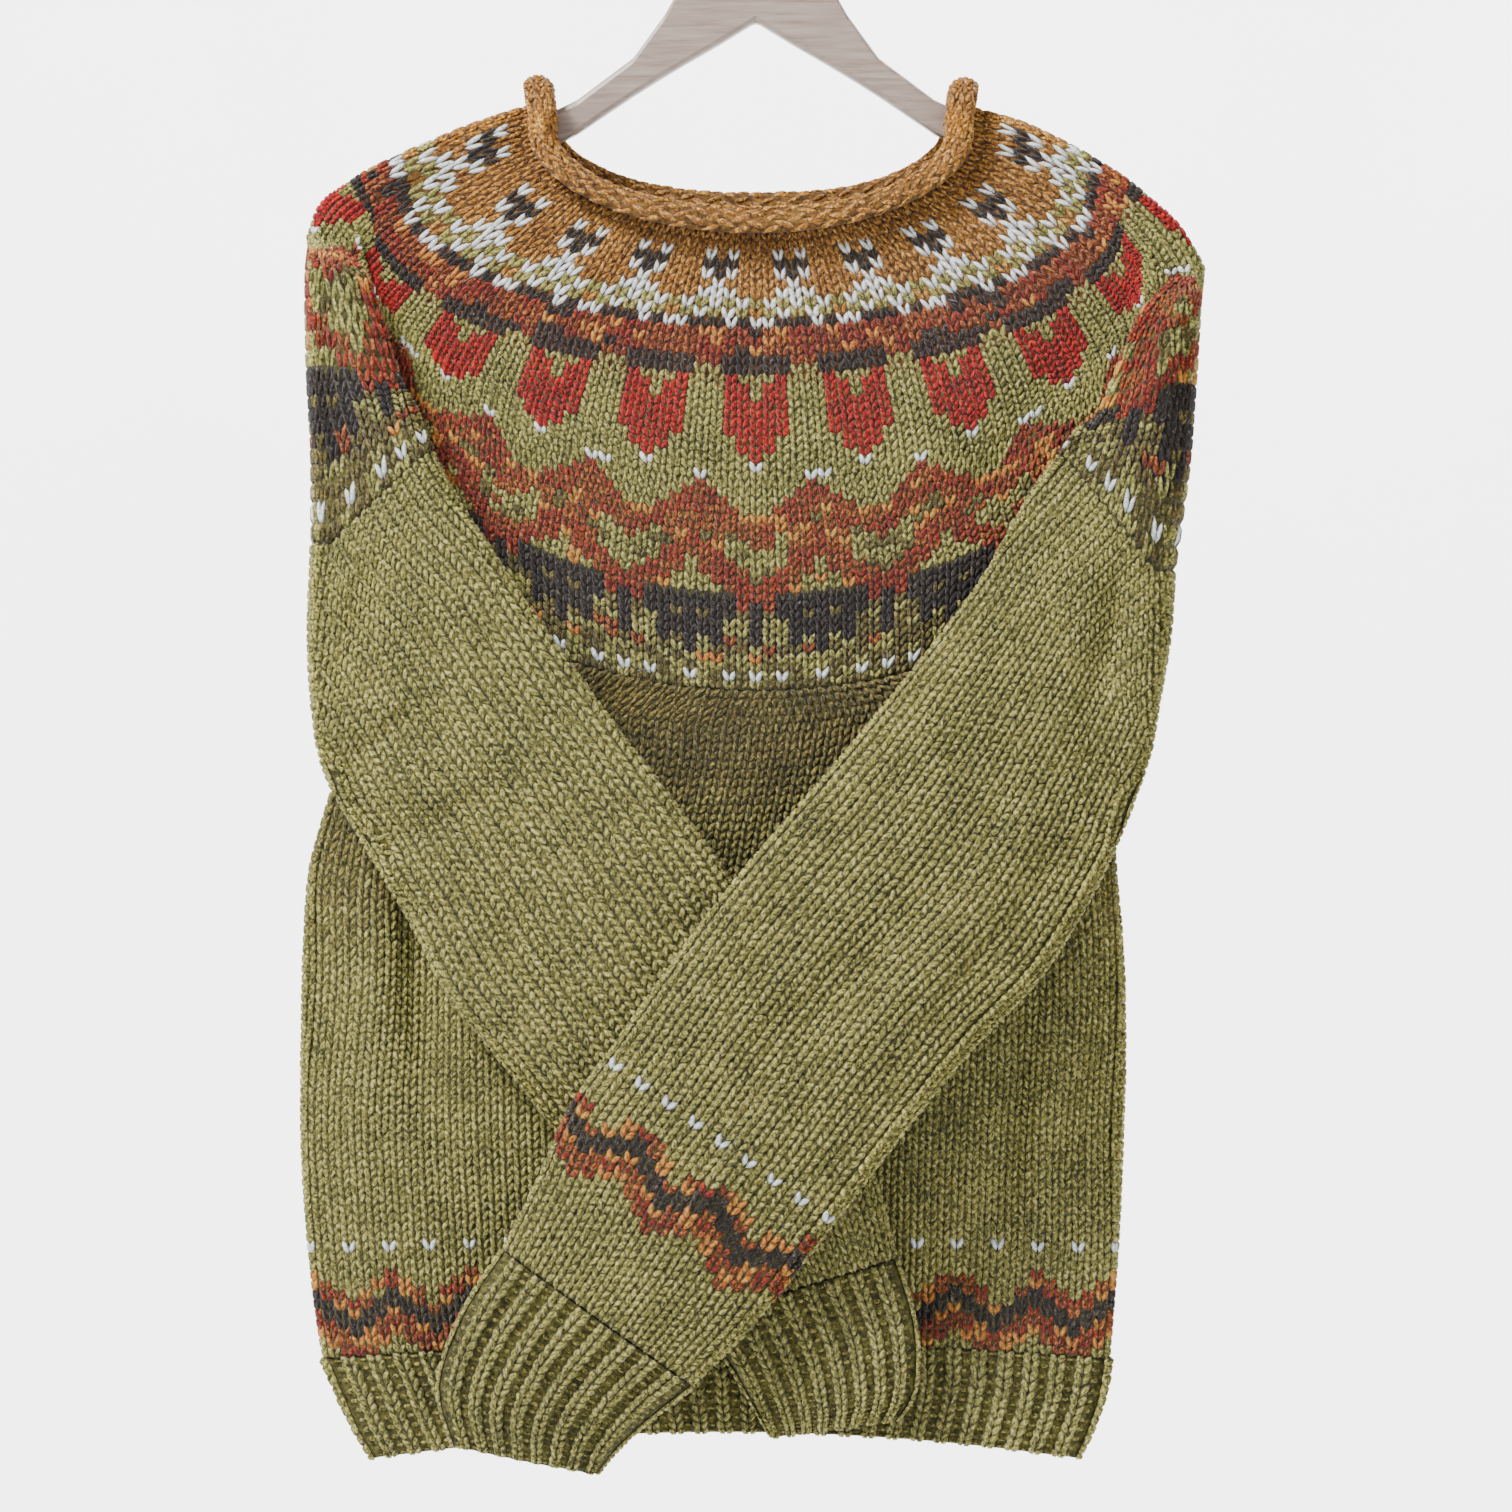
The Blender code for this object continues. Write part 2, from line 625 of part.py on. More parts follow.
def build():
    clear_scene()
    green = material("green heather wool", (0.22, 0.21, 0.07), 0.9)
    yoke_wool = material("patterned yoke wool", (0.26, 0.12, 0.05), 0.9)
    ochre = material("ochre wool", (0.36, 0.18, 0.06), 0.9)
    wood = material("pale beech", (0.47, 0.37, 0.29), 0.55)
    steel = material("plated steel", (0.75, 0.75, 0.74), 0.25, 1.0)

    levels = yoke_levels()
    yoke_rows = smooth_between(levels, YOKE_EXTRA_ROWS)
    base = yoke_rows[-1]
    edge = normals_of(yoke_rows)[-1]
    yoke_names = ("yoke_upper", "yoke_lower")
    two_tubes(yoke_names, yoke_rows, normals_of(yoke_rows), yoke_wool, YOKE_SPLIT)
    neckband(levels[0], levels[1], ochre)

    body_rows = [lowered(first_body_ring(base), SEAM_GAP)]
    body_rows += [body_ring(level, len(body_rows[0])) for level in BODY]
    side_end = FRONT_STEPS + FOLD_STEPS
    right_begin = len(edge) - side_end
    right_end = len(edge) - FRONT_STEPS
    seam = edge[:FRONT_STEPS] + [edge[FRONT_STEPS], None, edge[side_end]]
    seam += edge[side_end + 1:right_begin] + [edge[right_begin], None, edge[right_end]]
    seam += edge[right_end + 1:]
    cloth_tube("body", body_rows, green, normals=seamed_normals(body_rows, seam))
    hem_rows = [even(body_ring(level, 8 * FRONT_STEPS), 3 * HEM_RIBS) for level in HEM]
    cloth_tube("hem_rib", hem_rows, green, HEM_RIBS)

    gusset = [None] * (GUSSET_STEPS - 1)
    left_seam = edge[FRONT_STEPS:side_end + 1] + gusset
    right_seam = gusset + edge[right_begin:right_end + 1]
    for sleeve, table, cuff, seam in (
        ("left", LEFT_SLEEVE, LEFT_CUFF, left_seam),
        ("right", RIGHT_SLEEVE, RIGHT_CUFF, right_seam),
    ):
        rows = [lowered(first_sleeve_ring(base, sleeve), SEAM_GAP)]
        rows += sleeve_rows(table, sleeve)
        cuff_rows = [even(row, 4 * CUFF_RIBS) for row in sleeve_rows(cuff, sleeve)]
        if sleeve == "right":
            rows = [list(reversed(row)) for row in rows]
            cuff_rows = [list(reversed(row)) for row in cuff_rows]
        names = ("sleeve_" + sleeve + "_upper", "sleeve_" + sleeve + "_lower")
        two_tubes(names, rows, seamed_normals(rows, seam), green, SLEEVE_SPLIT)
        cloth_tube("cuff_" + sleeve, cuff_rows, green, CUFF_RIBS)

    hanger_wood(wood)
    hanger_hook(steel)


build()
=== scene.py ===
import math

import bpy
import numpy as np
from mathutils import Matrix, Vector


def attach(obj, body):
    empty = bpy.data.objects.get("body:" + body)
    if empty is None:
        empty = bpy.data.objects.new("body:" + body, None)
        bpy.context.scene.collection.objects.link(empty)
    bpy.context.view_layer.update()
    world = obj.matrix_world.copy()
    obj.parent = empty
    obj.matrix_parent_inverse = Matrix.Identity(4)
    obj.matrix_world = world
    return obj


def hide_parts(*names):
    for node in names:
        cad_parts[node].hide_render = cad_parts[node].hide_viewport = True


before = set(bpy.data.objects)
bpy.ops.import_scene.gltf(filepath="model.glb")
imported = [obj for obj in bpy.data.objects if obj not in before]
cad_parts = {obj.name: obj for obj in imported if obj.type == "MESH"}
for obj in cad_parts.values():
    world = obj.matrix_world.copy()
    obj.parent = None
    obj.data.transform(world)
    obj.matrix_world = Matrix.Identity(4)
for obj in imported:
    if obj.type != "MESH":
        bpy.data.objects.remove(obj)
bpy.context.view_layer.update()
rng = np.random.default_rng(41)

# the folded garment's common sizes in metres, and the steps between them
form = dict(
    hookTop=0.1275, seamGap=0.0005,
    frontDepth=0.021, backDepth=0.021, sideDepth=0.013, edgeDepth=0.0175,
    sleeveBack=0.030, sleeveFront=0.046, sleeveTuckDepth=0.0245, lift=0.027, crown=0.004,
    tuckRadius=0.0052, outerRadius=0.011, shoulderRise=0.009, firstStep=0.008,
    underArmDrop=0.006, gussetDrop=0.002, underArmShare=0.35, sleeveStart=0.3,
    # from the lower fold in to the tuck beside it, in millimetres
    tuckIn=11.0, tuckUp=16.0,
    frontSteps=10, backSteps=10, runSteps=8, tuckSteps=2, layerSteps=3, topSteps=3,
    outerLayerSteps=4, outerSteps=5, gussetSteps=5,
)
form["topRadius"] = (form["sleeveFront"] - form["sleeveBack"]) / 2.0
form["foldSteps"] = sum(form[part + "Steps"] for part in ("tuck", "layer", "top", "outerLayer", "outer"))

# the knitted round yoke, a row for each level from the neck down, in millimetres across and down.
# lean and run shape the shoulder; tuck, top and outer are the folds of the sleeve's top
yoke = dict(
    extraRows=(0, 0, 0, 0, 1, 1, 1, 0, 0),
    levels=(
        dict(centre=115, back=103, lean=0, run=6, left=dict(rim=(-112, 50)), right=dict(rim=(107, 51))),
        dict(centre=135, back=122, lean=5, run=6, left=dict(rim=(-140, 59)), right=dict(rim=(139, 61))),
        dict(centre=166, back=152, lean=15, run=7, left=dict(rim=(-189, 80)), right=dict(rim=(178, 82))),
        dict(centre=186, back=172, lean=30, run=9, left=dict(rim=(-204, 89)), right=dict(rim=(194, 94))),
        dict(centre=213, back=198, lean=50, run=12, left=dict(rim=(-217, 98)), right=dict(rim=(210, 108))),
        dict(centre=240, back=225, arc=84, lean=80, run=14.5,
             left=dict(outer=(-225, 118)),
             right=dict(outer=(225, 134))),
        dict(centre=270, back=255, arc=77, fold=0.45,
             left=dict(tuck=(-207, 153), top=(-194.5, 139.5), outer=(-225, 134.5)),
             right=dict(tuck=(205, 171), top=(192.5, 157.5), outer=(222, 152.5))),
        dict(centre=300, back=286, arc=70, fold=1.0,
             left=dict(tuck=(-213, 178), top=(-177.5, 191.5), outer=(-224, 190)),
             right=dict(tuck=(208, 192), top=(170.5, 209.5), outer=(219, 198))),
        dict(centre=325, back=314, arc=62, fold=1.0,
             left=dict(tuck=(-212, 215), top=(-170, 205), outer=(-222, 228)),
             right=dict(tuck=(205, 228), top=(161, 215), outer=(216, 236))),
        dict(centre=345, back=338, arc=55, fold=1.0,
             left=dict(tuck=(-211, 255), top=(-162, 226), outer=(-222, 272)),
             right=dict(tuck=(197, 268), top=(152, 228), outer=(209, 285))),
    ),
)
# each sleeve's and cuff's rings: the two folds, how far forward, and how far the lower fold has come round.
# lift is 0 and turn is 1 where a ring doesn't give them
leftSleeve = dict(
    rings=(
        dict(top=(-150, 250), low=(-223, 318), turn=0.35),
        dict(top=(-130, 280), low=(-220, 357), turn=0.7),
        dict(top=(-110, 310), low=(-213, 388)),
        dict(top=(-70, 365), low=(-190, 428)),
        dict(top=(-38, 407), low=(-170, 462)),
        dict(top=(-14, 440), low=(-151, 498)),
        dict(top=(12, 484), low=(-121, 535)),
        dict(top=(34, 530), low=(-90, 575)),
        dict(top=(57, 585), low=(-55, 620)),
        dict(top=(69, 628), low=(-27, 656)),
    ),
    cuff=(
        dict(top=(69.3, 628.8), low=(-26.6, 656.8)),
        dict(top=(79, 662), low=(-10, 684)),
        dict(top=(79, 693), low=(2, 705)),
        dict(top=(70, 708), low=(9, 717)),
    ),
)
rightSleeve = dict(
    rings=(
        dict(top=(139, 246), low=(206, 320), turn=0.35),
        dict(top=(124, 272), low=(200, 352), lift=0.05, turn=0.7),
        dict(top=(109, 297), low=(194, 380), lift=0.12),
        dict(top=(76, 340), low=(176, 426), lift=0.35),
        dict(top=(38, 386), low=(143, 482), lift=0.75),
        dict(top=(-9, 440), low=(106, 521), lift=1.0),
        dict(top=(-39, 480), low=(77, 556), lift=1.0),
        dict(top=(-64, 515), low=(47, 595), lift=1.0),
        dict(top=(-90, 551), low=(20, 630), lift=1.0),
        dict(top=(-106, 587), low=(-8, 664), lift=1.0),
        dict(top=(-124, 622), low=(-32, 688), lift=0.9),
    ),
    cuff=(
        dict(top=(-124.5, 622.7), low=(-32.5, 688.7), lift=0.898),
        dict(top=(-145, 655), low=(-52, 704), lift=0.75),
        dict(top=(-157, 690), low=(-68, 719), lift=0.55),
        dict(top=(-150, 720), low=(-80, 734), lift=0.4),
    ),
)
# the body. Each ring has its drops at the middle and the sides, then its left and right edges
body = dict(
    # how a ring fills its sides, how its depth and its folds fade there, and the folds' share at the back
    sideShape=0.86, depthShape=0.32, foldShape=0.5, backFold=-0.5, hemSteps=80,
    rings=(
        (362, 302, -198, 184),
        (378, 336, -199, 180),
        (398, 368, -205, 178),
        (420, 402, -215, 178),
        (446, 436, -224, 180),
        (482, 478, -227, 184),
        (526, 526, -228, 185),
        (572, 574, -228, 184),
        (616, 620, -225, 182),
        (650, 657, -221, 179),
        (672, 681, -217, 177),
    ),
    hem=(
        (672.6, 681.6, -217, 177),
        (688, 699, -209, 174),
        (704, 716, -201, 168),
        (717, 731, -192, 161),
    ),
    folds=(
        dict(x=-165, drop=470, width=16, length=110, depth=-6.0, lean=0.10),
        dict(x=148, drop=510, width=18, length=120, depth=5.0, lean=-0.20),
        dict(x=-95, drop=640, width=22, length=90, depth=3.5, lean=0.05),
        dict(x=105, drop=640, width=24, length=90, depth=-3.5, lean=0.0),
    ),
)


def place(xMm, dropMm, y):
    return Vector((xMm / 1000.0, y, -form["hookTop"] - dropMm / 1000.0))


# points from start round to end, standing out sideways by radius in the middle
def turn(start, end, out, radius, steps):
    points = []
    for step in range(steps):
        share = step / steps
        across = (1.0 - math.cos(math.pi * share)) / 2.0
        points.append(start.lerp(end, across) + out * radius * math.sin(math.pi * share))
    return points


# points from start towards end, standing forward by crown in the middle
def straight(start, end, steps, crown=0.0):
    points = []
    for step in range(steps):
        share = step / steps
        point = start.lerp(end, share)
        point.y -= crown * math.sin(math.pi * share)
        points.append(point)
    return points


# points of a level across one half of the front or back, from the middle to the edge
def panel(middleDrop, edge, middleY, steps, arc=90.0):
    last = math.radians(arc)
    points = []
    for step in range(steps):
        angle = last * step / steps
        across = math.sin(angle) / math.sin(last)
        rise = (1.0 - math.cos(angle)) / (1.0 - math.cos(last))
        point = place(0.0, middleDrop, middleY)
        point.x = edge.x * across
        point.z += (edge.z - point.z) * rise
        point.y += (edge.y - middleY) * across ** 4
        points.append(point)
    return points


def flatUnit(vector):
    return Vector((vector.x, 0.0, vector.z)).normalized()


# a level's points from the front's edge round the sleeve's folds to the back's edge
def foldedSide(tuck, top, outer, lift=0.0, tuckDepth=form["edgeDepth"], fold=1.0):
    firstY = tuckDepth + form["firstStep"]
    backY = -firstY - (form["sleeveBack"] + lift - firstY) * fold
    firstY += 2.0 * form["firstStep"]
    frontY = -firstY - (form["sleeveFront"] + lift - firstY) * fold
    topRadius = (backY - frontY) / 2.0
    inward = flatUnit(place(*top, 0.0) - place(*outer, 0.0))
    sideways = Vector((math.copysign(1.0, outer[0]), 0.0, 0.0))
    tuckNear = place(*tuck, -tuckDepth)
    tuckFar = place(*tuck, backY)
    topRear = place(*top, backY) - inward * topRadius
    topNear = place(*top, frontY) - inward * topRadius
    outerNear = place(*outer, frontY) - sideways * form["outerRadius"]
    outerFar = place(*outer, form["edgeDepth"]) - sideways * form["outerRadius"]
    points = turn(tuckNear, tuckFar, sideways, form["tuckRadius"] * fold, form["tuckSteps"])
    points += straight(tuckFar, topRear, form["layerSteps"])
    points += turn(topRear, topNear, inward, topRadius, form["topSteps"])
    points += straight(topNear, outerNear, form["outerLayerSteps"], form["crown"] * fold)
    points += turn(outerNear, outerFar, sideways, form["outerRadius"], form["outerSteps"])
    return points, outerFar


# a level's points round the shoulder: a straight run where the fold will be, then the turn
def plainSide(level, edge, rise, depth):
    angle = math.radians(level["lean"])
    out = Vector((math.copysign(math.sin(angle), edge[0]), 0.0, math.cos(angle)))
    near = place(*edge, -depth) - out * rise
    far = place(*edge, depth) - out * rise
    points = straight(near - out * level["run"] * 0.001, near, form["runSteps"])
    points += turn(near, far, out, rise, form["foldSteps"] - form["runSteps"])
    return points, far


# half a level, from the middle of the front to just before the middle of the back
def yokeHalf(level, hand):
    if "rim" in hand:
        side, far = plainSide(level, hand["rim"], form["shoulderRise"], form["sideDepth"])
    elif "lean" in level:
        side, far = plainSide(level, hand["outer"], form["outerRadius"], form["edgeDepth"])
    else:
        side, far = foldedSide(hand["tuck"], hand["top"], hand["outer"], fold=level["fold"])
    arc = level.get("arc", 90.0)
    front = panel(level["centre"], side[0], -form["frontDepth"], form["frontSteps"], arc)
    back = panel(level["back"], far, form["backDepth"], form["backSteps"], arc)
    return front, side + [far], back


# the whole level, from the front's middle by the left side to the back and round again
def joinHalves(left, right):
    leftFront, leftSide, leftBack = left
    rightFront, rightSide, rightBack = right
    row = list(leftFront) + list(leftSide)
    row += list(reversed(leftBack[1:]))
    row.append((leftBack[0] + rightBack[0]) / 2.0)
    row += list(rightBack[1:])
    row += list(reversed(rightSide))
    row += list(reversed(rightFront[1:]))
    return row


def yokeLevels():
    rows = []
    for level in yoke["levels"]:
        rows.append(joinHalves(yokeHalf(level, level["left"]), yokeHalf(level, level["right"])))
    return rows


# a point of a smooth curve through b and c
def curvePoint(a, b, c, d, t):
    t2, t3 = t * t, t * t * t
    return 0.5 * (2 * b + (c - a) * t + (2 * a - 5 * b + 4 * c - d) * t2 + (3 * b - a - 3 * c + d) * t3)


# adds rows on a smooth curve through the given ones: extra[i] of them after row i
def smoothBetween(rows, extra):
    result = []
    for index, row in enumerate(rows[:-1]):
        result.append(row)
        before = rows[max(index - 1, 0)]
        after = rows[index + 1]
        beyond = rows[min(index + 2, len(rows) - 1)]
        for step in range(1, extra[index] + 1):
            share = step / (extra[index] + 1)
            between = zip(before, row, after, beyond)
            result.append([curvePoint(a, b, c, d, share) for a, b, c, d in between])
    result.append(rows[-1])
    return result


# a closed ring of a sleeve: the yoke's folds above, and a flat tube lower down
def sleeveRing(ring):
    side = 1.0 if ring["sleeve"] == "right" else -1.0
    lift = form["lift"] * ring.get("lift", 0.0)
    top, low = ring["top"], ring["low"]
    backY = -form["sleeveBack"] - lift
    frontY = -form["sleeveFront"] - lift
    inward = flatUnit(place(*top, 0.0) - place(*low, 0.0))
    topRear = place(*top, backY) - inward * form["topRadius"]
    topNear = place(*top, frontY) - inward * form["topRadius"]
    lowRear = place(*low, backY) + inward * form["topRadius"]
    lowNear = place(*low, frontY) + inward * form["topRadius"]
    start = lowRear.lerp(topRear, form["sleeveStart"])
    flat = straight(start, topRear, form["tuckSteps"] + form["layerSteps"])
    flat += turn(topRear, topNear, inward, form["topRadius"], form["topSteps"])
    flat += straight(topNear, lowNear, form["outerLayerSteps"], form["crown"])
    flat += turn(lowNear, lowRear, -inward, form["topRadius"], form["outerSteps"])
    flat += straight(lowRear, start, form["gussetSteps"])
    share = ring.get("turn", 1.0)
    if share >= 1.0:
        return flat
    tuck = (low[0] - side * form["tuckIn"], low[1] - form["tuckUp"])
    folded, far = foldedSide(tuck, top, low, lift, form["sleeveTuckDepth"])
    folded += turn(far, folded[0], Vector((side, 0.0, 0.0)), 0.0, form["gussetSteps"])
    return [a.lerp(b, share) for a, b in zip(folded, flat)]


def sleeveRows(table, sleeve):
    return [sleeveRing(dict(ring, sleeve=sleeve)) for ring in table]


# the sleeve's ring at the yoke's last level, a seam's gap below it
def firstSleeveRing(yokeRow, sleeve):
    if sleeve == "left":
        begin = form["frontSteps"]
        fold = yokeRow[begin:begin + form["foldSteps"] + 1]
    else:
        begin = len(yokeRow) - form["frontSteps"] + 1 - (form["foldSteps"] + 1)
        fold = list(reversed(yokeRow[begin:begin + form["foldSteps"] + 1]))
    ring = [point.copy() for point in fold[:-1]]
    ring += turn(fold[-1], fold[0], Vector((0.0, 0.0, -1.0)), form["gussetDrop"], form["gussetSteps"])
    return ring


# how far the body's cloth stands forward in its folds, in metres
def bodyFold(x, drop):
    total = 0.0
    for fold in body["folds"]:
        across = (x - fold["x"] - fold["lean"] * (drop - fold["drop"])) / fold["width"]
        along = (drop - fold["drop"]) / fold["length"]
        total += fold["depth"] * math.exp(-across * across - along * along)
    return total / 1000.0


# a closed ring of the body: full in the middle and thin at its sides
def bodyRing(level, count):
    middleDrop, sideDrop, left, right = level
    centreX = (left + right) / 2.0
    halfWidth = (right - left) / 2.0
    row = []
    for step in range(count):
        angle = 2.0 * math.pi * step / count
        sine = math.sin(angle)
        cosine = math.cos(angle)
        x = centreX - halfWidth * math.copysign(abs(sine) ** body["sideShape"], sine)
        edge = ((x - centreX) / halfWidth) ** 2
        drop = middleDrop + (sideDrop - middleDrop) * edge
        depth = form["frontDepth"] * abs(cosine) ** body["depthShape"]
        front = cosine > 0.0
        y = -depth if front else depth
        fold = bodyFold(x, drop) * abs(cosine) ** body["foldShape"]
        y -= fold if front else body["backFold"] * fold
        row.append(place(x, drop, y))
    return row


# the body's ring at the yoke's last level: its front and back, joined under the arms
def firstBodyRing(yokeRow):
    count = len(yokeRow)
    sideEnd = form["frontSteps"] + form["foldSteps"]
    row = yokeRow[:form["frontSteps"]]
    row += underArm(yokeRow, form["frontSteps"], -1, sideEnd, 1)
    row += yokeRow[sideEnd + 1:count - sideEnd]
    row += underArm(yokeRow, count - sideEnd, -1, count - form["frontSteps"], 1)
    row += yokeRow[count - form["frontSteps"] + 1:]
    return row


# three points that join front and back under an arm, just inside the sleeve's folds
def underArm(yokeRow, first, firstStep, last, lastStep):
    near = yokeRow[first].lerp(yokeRow[first + firstStep], form["underArmShare"])
    far = yokeRow[last].lerp(yokeRow[last + lastStep], form["underArmShare"])
    near, far = lowered([near, far], form["underArmDrop"] / 2.0)
    middle = lowered([(near + far) / 2.0], form["underArmDrop"] / 2.0)[0]
    return [near, middle, far]


def lowered(row, amount):
    return [point - Vector((0.0, 0.0, amount)) for point in row]


# the closed ring again, through count points an even way apart along it
def even(row, count):
    lengths = [0.0]
    closed = list(row) + [row[0]]
    for a, b in zip(closed[:-1], closed[1:]):
        lengths.append(lengths[-1] + (b - a).length)
    points = []
    segment = 0
    for step in range(count):
        target = lengths[-1] * step / count
        while lengths[segment + 1] < target:
            segment += 1
        run = lengths[segment + 1] - lengths[segment]
        points.append(closed[segment].lerp(closed[segment + 1], (target - lengths[segment]) / run))
    return points


def linear(hexColour):
    values = [int(hexColour[i:i + 2], 16) / 255.0 for i in (1, 3, 5)]
    return tuple(v / 12.92 if v <= 0.04045 else ((v + 0.055) / 1.055) ** 2.4 for v in values) + (1.0,)


# adds a node, sets its properties and input values, and links its inputs
def addNode(tree, kind, settings=None, links=None):
    made = tree.nodes.new(kind)
    for name, value in (settings or {}).items():
        if isinstance(name, int) or name in made.inputs:
            made.inputs[name].default_value = value
        else:
            setattr(made, name, value)
    for name, source in (links or {}).items():
        tree.links.new(source, made.inputs[name])
    return made


def setInputs(node, values):
    for name, value in values.items():
        node.inputs[name].default_value = value


def noise(tree, coords, scale, detail, roughness=0.5):
    settings = {"Scale": scale, "Detail": detail, "Roughness": roughness}
    return addNode(tree, "ShaderNodeTexNoise", settings, {"Vector": coords}).outputs["Fac"]


def addBump(tree, shader, height, strength, distance):
    settings = {"Strength": strength, "Distance": distance}
    bump = addNode(tree, "ShaderNodeBump", settings, {"Height": height})
    tree.links.new(bump.outputs["Normal"], shader.inputs["Normal"])


# stretches a value between two ends out to two others
def stretch(tree, source, settings):
    return addNode(tree, "ShaderNodeMapRange", settings, {"Value": source}).outputs["Result"]


def newMaterial(name):
    made = bpy.data.materials.new(name)
    made.use_nodes = True
    tree = made.node_tree
    shader = tree.nodes["Principled BSDF"]
    coords = addNode(tree, "ShaderNodeTexCoord")
    return made, tree, shader, coords.outputs["Object"]


def colourRamp(tree, source, stops):
    ramp = addNode(tree, "ShaderNodeValToRGB", links={"Fac": source})
    elements = ramp.color_ramp.elements
    while len(elements) < len(stops):
        elements.new(0.5)
    for element, (position, colour) in zip(elements, stops):
        element.position = position
        element.color = linear(colour)
    return ramp.outputs["Color"]


# widths in millimetres of the wool's broad patches and single fibres, and how much the patches count
woolGrain = dict(patch=26.0, fibre=0.7, patchShare=0.16)


# lambswool spun from dyed fibres: flecks of the blend 1 to 2 mm long, a dull face with a soft bloom
def heatherWool(name, stops, fleck=1.5, bloom=0.12):
    made, tree, shader, coords = newMaterial(name)
    fine = noise(tree, coords, scale=1000.0 / fleck, detail=2.0, roughness=0.6)
    broad = noise(tree, coords, scale=1000.0 / woolGrain["patch"], detail=1.0)
    settings = {"operation": "MULTIPLY_ADD", 1: woolGrain["patchShare"]}
    blend = addNode(tree, "ShaderNodeMath", settings, {0: broad, 2: fine})
    spread = stretch(tree, blend.outputs["Value"], {"From Min": 0.40, "From Max": 0.76})
    tree.links.new(colourRamp(tree, spread, stops), shader.inputs["Base Color"])
    fibres = noise(tree, coords, scale=1000.0 / woolGrain["fibre"], detail=3.0)
    addBump(tree, shader, fibres, strength=0.55, distance=0.0006)
    setInputs(shader, {"Roughness": 0.92, "IOR": 1.54, "Specular IOR Level": 0.25})
    setInputs(shader, {"Sheen Weight": bloom, "Sheen Roughness": 0.55})
    return made


# the colours of each blend, dark fibres first
blends = dict(
    green=[(0.0, "#2E2E14"), (0.25, "#5C5929"), (0.5, "#85803A"), (0.75, "#AAA25A"), (1.0, "#C8BE7C")],
    moss=[(0.0, "#262410"), (0.28, "#4D4820"), (0.55, "#736B30"), (0.82, "#998E4B"), (1.0, "#B5A868")],
    olive=[(0.0, "#1F1A0B"), (0.3, "#3E3718"), (0.6, "#5F5425"), (0.85, "#82733A"), (1.0, "#A08F52")],
    rust=[(0.0, "#2C0F0A"), (0.3, "#582010"), (0.55, "#833715"), (0.8, "#A45A20"), (1.0, "#C18A39")],
    brick=[(0.0, "#2E0C09"), (0.35, "#601610"), (0.6, "#8A2411"), (0.85, "#A4421B"), (1.0, "#B07A36")],
    orange=[(0.0, "#70301A"), (0.3, "#A65820"), (0.6, "#C5802E"), (0.85, "#C59C42"), (1.0, "#A5A04E")],
    red=[(0.0, "#240305"), (0.25, "#600507"), (0.5, "#980A09"), (0.75, "#B8140C"), (1.0, "#C83E20")],
    ochre=[(0.0, "#42260A"), (0.3, "#784A13"), (0.6, "#A36C20"), (0.85, "#C69244"), (1.0, "#DDB777")],
    dark=[(0.0, "#0F0B0A"), (0.35, "#1C1513"), (0.65, "#2B221E"), (0.88, "#40362F"), (1.0, "#6E6658")],
    white=[(0.0, "#A9ADA6"), (0.3, "#CBD0CF"), (0.6, "#E2E8EB"), (1.0, "#F4F7F9")],
)
wools = {name: heatherWool(name + "HeatherWool", stops) for name, stops in blends.items()}
woolNames = list(blends)
# the backs of the stitches: each wool's own hue, darkened as painted shade in the gaps between the stitches
paintedShadeGroundStops = dict(
    green=[(0.0, "#1E1E0B"), (0.5, "#434019"), (1.0, "#67612C")],
    ochre=[(0.0, "#30200B"), (0.5, "#604016"), (1.0, "#866029")],
    rust=[(0.0, "#26120B"), (0.5, "#522812"), (1.0, "#74461F")],
    dark=[(0.0, "#0A0807"), (0.5, "#1C1613"), (1.0, "#332B26")],
)
grounds = {}
for name, stops in paintedShadeGroundStops.items():
    grounds[name] = heatherWool(name + "WoolBacksInPaintedShade", stops, fleck=2.2, bloom=0.1)
groundNames = list(paintedShadeGroundStops)


# planed beech under satin lacquer: fine straight grain along the arm, a soft broad gloss
def lacqueredBeech():
    made, tree, shader, coords = newMaterial("lacqueredBeech")
    stretched = addNode(tree, "ShaderNodeMapping", {"Scale": (30.0, 700.0, 420.0)}, {"Vector": coords})
    grain = noise(tree, stretched.outputs["Vector"], scale=1.0, detail=4.0, roughness=0.6)
    stops = [(0.25, "#776459"), (0.45, "#918074"), (0.65, "#A29186"), (0.9, "#B1A297")]
    tree.links.new(colourRamp(tree, grain, stops), shader.inputs["Base Color"])
    addBump(tree, shader, grain, strength=0.12, distance=0.0003)
    setInputs(shader, {"Roughness": 0.42, "IOR": 1.5, "Coat Weight": 0.2, "Coat Roughness": 0.3})
    return made


# nickel-plated steel wire, drawn then plated: bright, with faint draw marks that soften its glints
def nickelPlatedWire():
    made, tree, shader, coords = newMaterial("nickelPlatedWire")
    marks = noise(tree, coords, scale=900.0, detail=3.0)
    rough = stretch(tree, marks, {"To Min": 0.16, "To Max": 0.32})
    tree.links.new(rough, shader.inputs["Roughness"])
    stops = [(0.0, "#B9B7B2"), (1.0, "#D4D2CE")]
    tree.links.new(colourRamp(tree, marks, stops), shader.inputs["Base Color"])
    setInputs(shader, {"Metallic": 1.0})
    return made


print("finishes made")


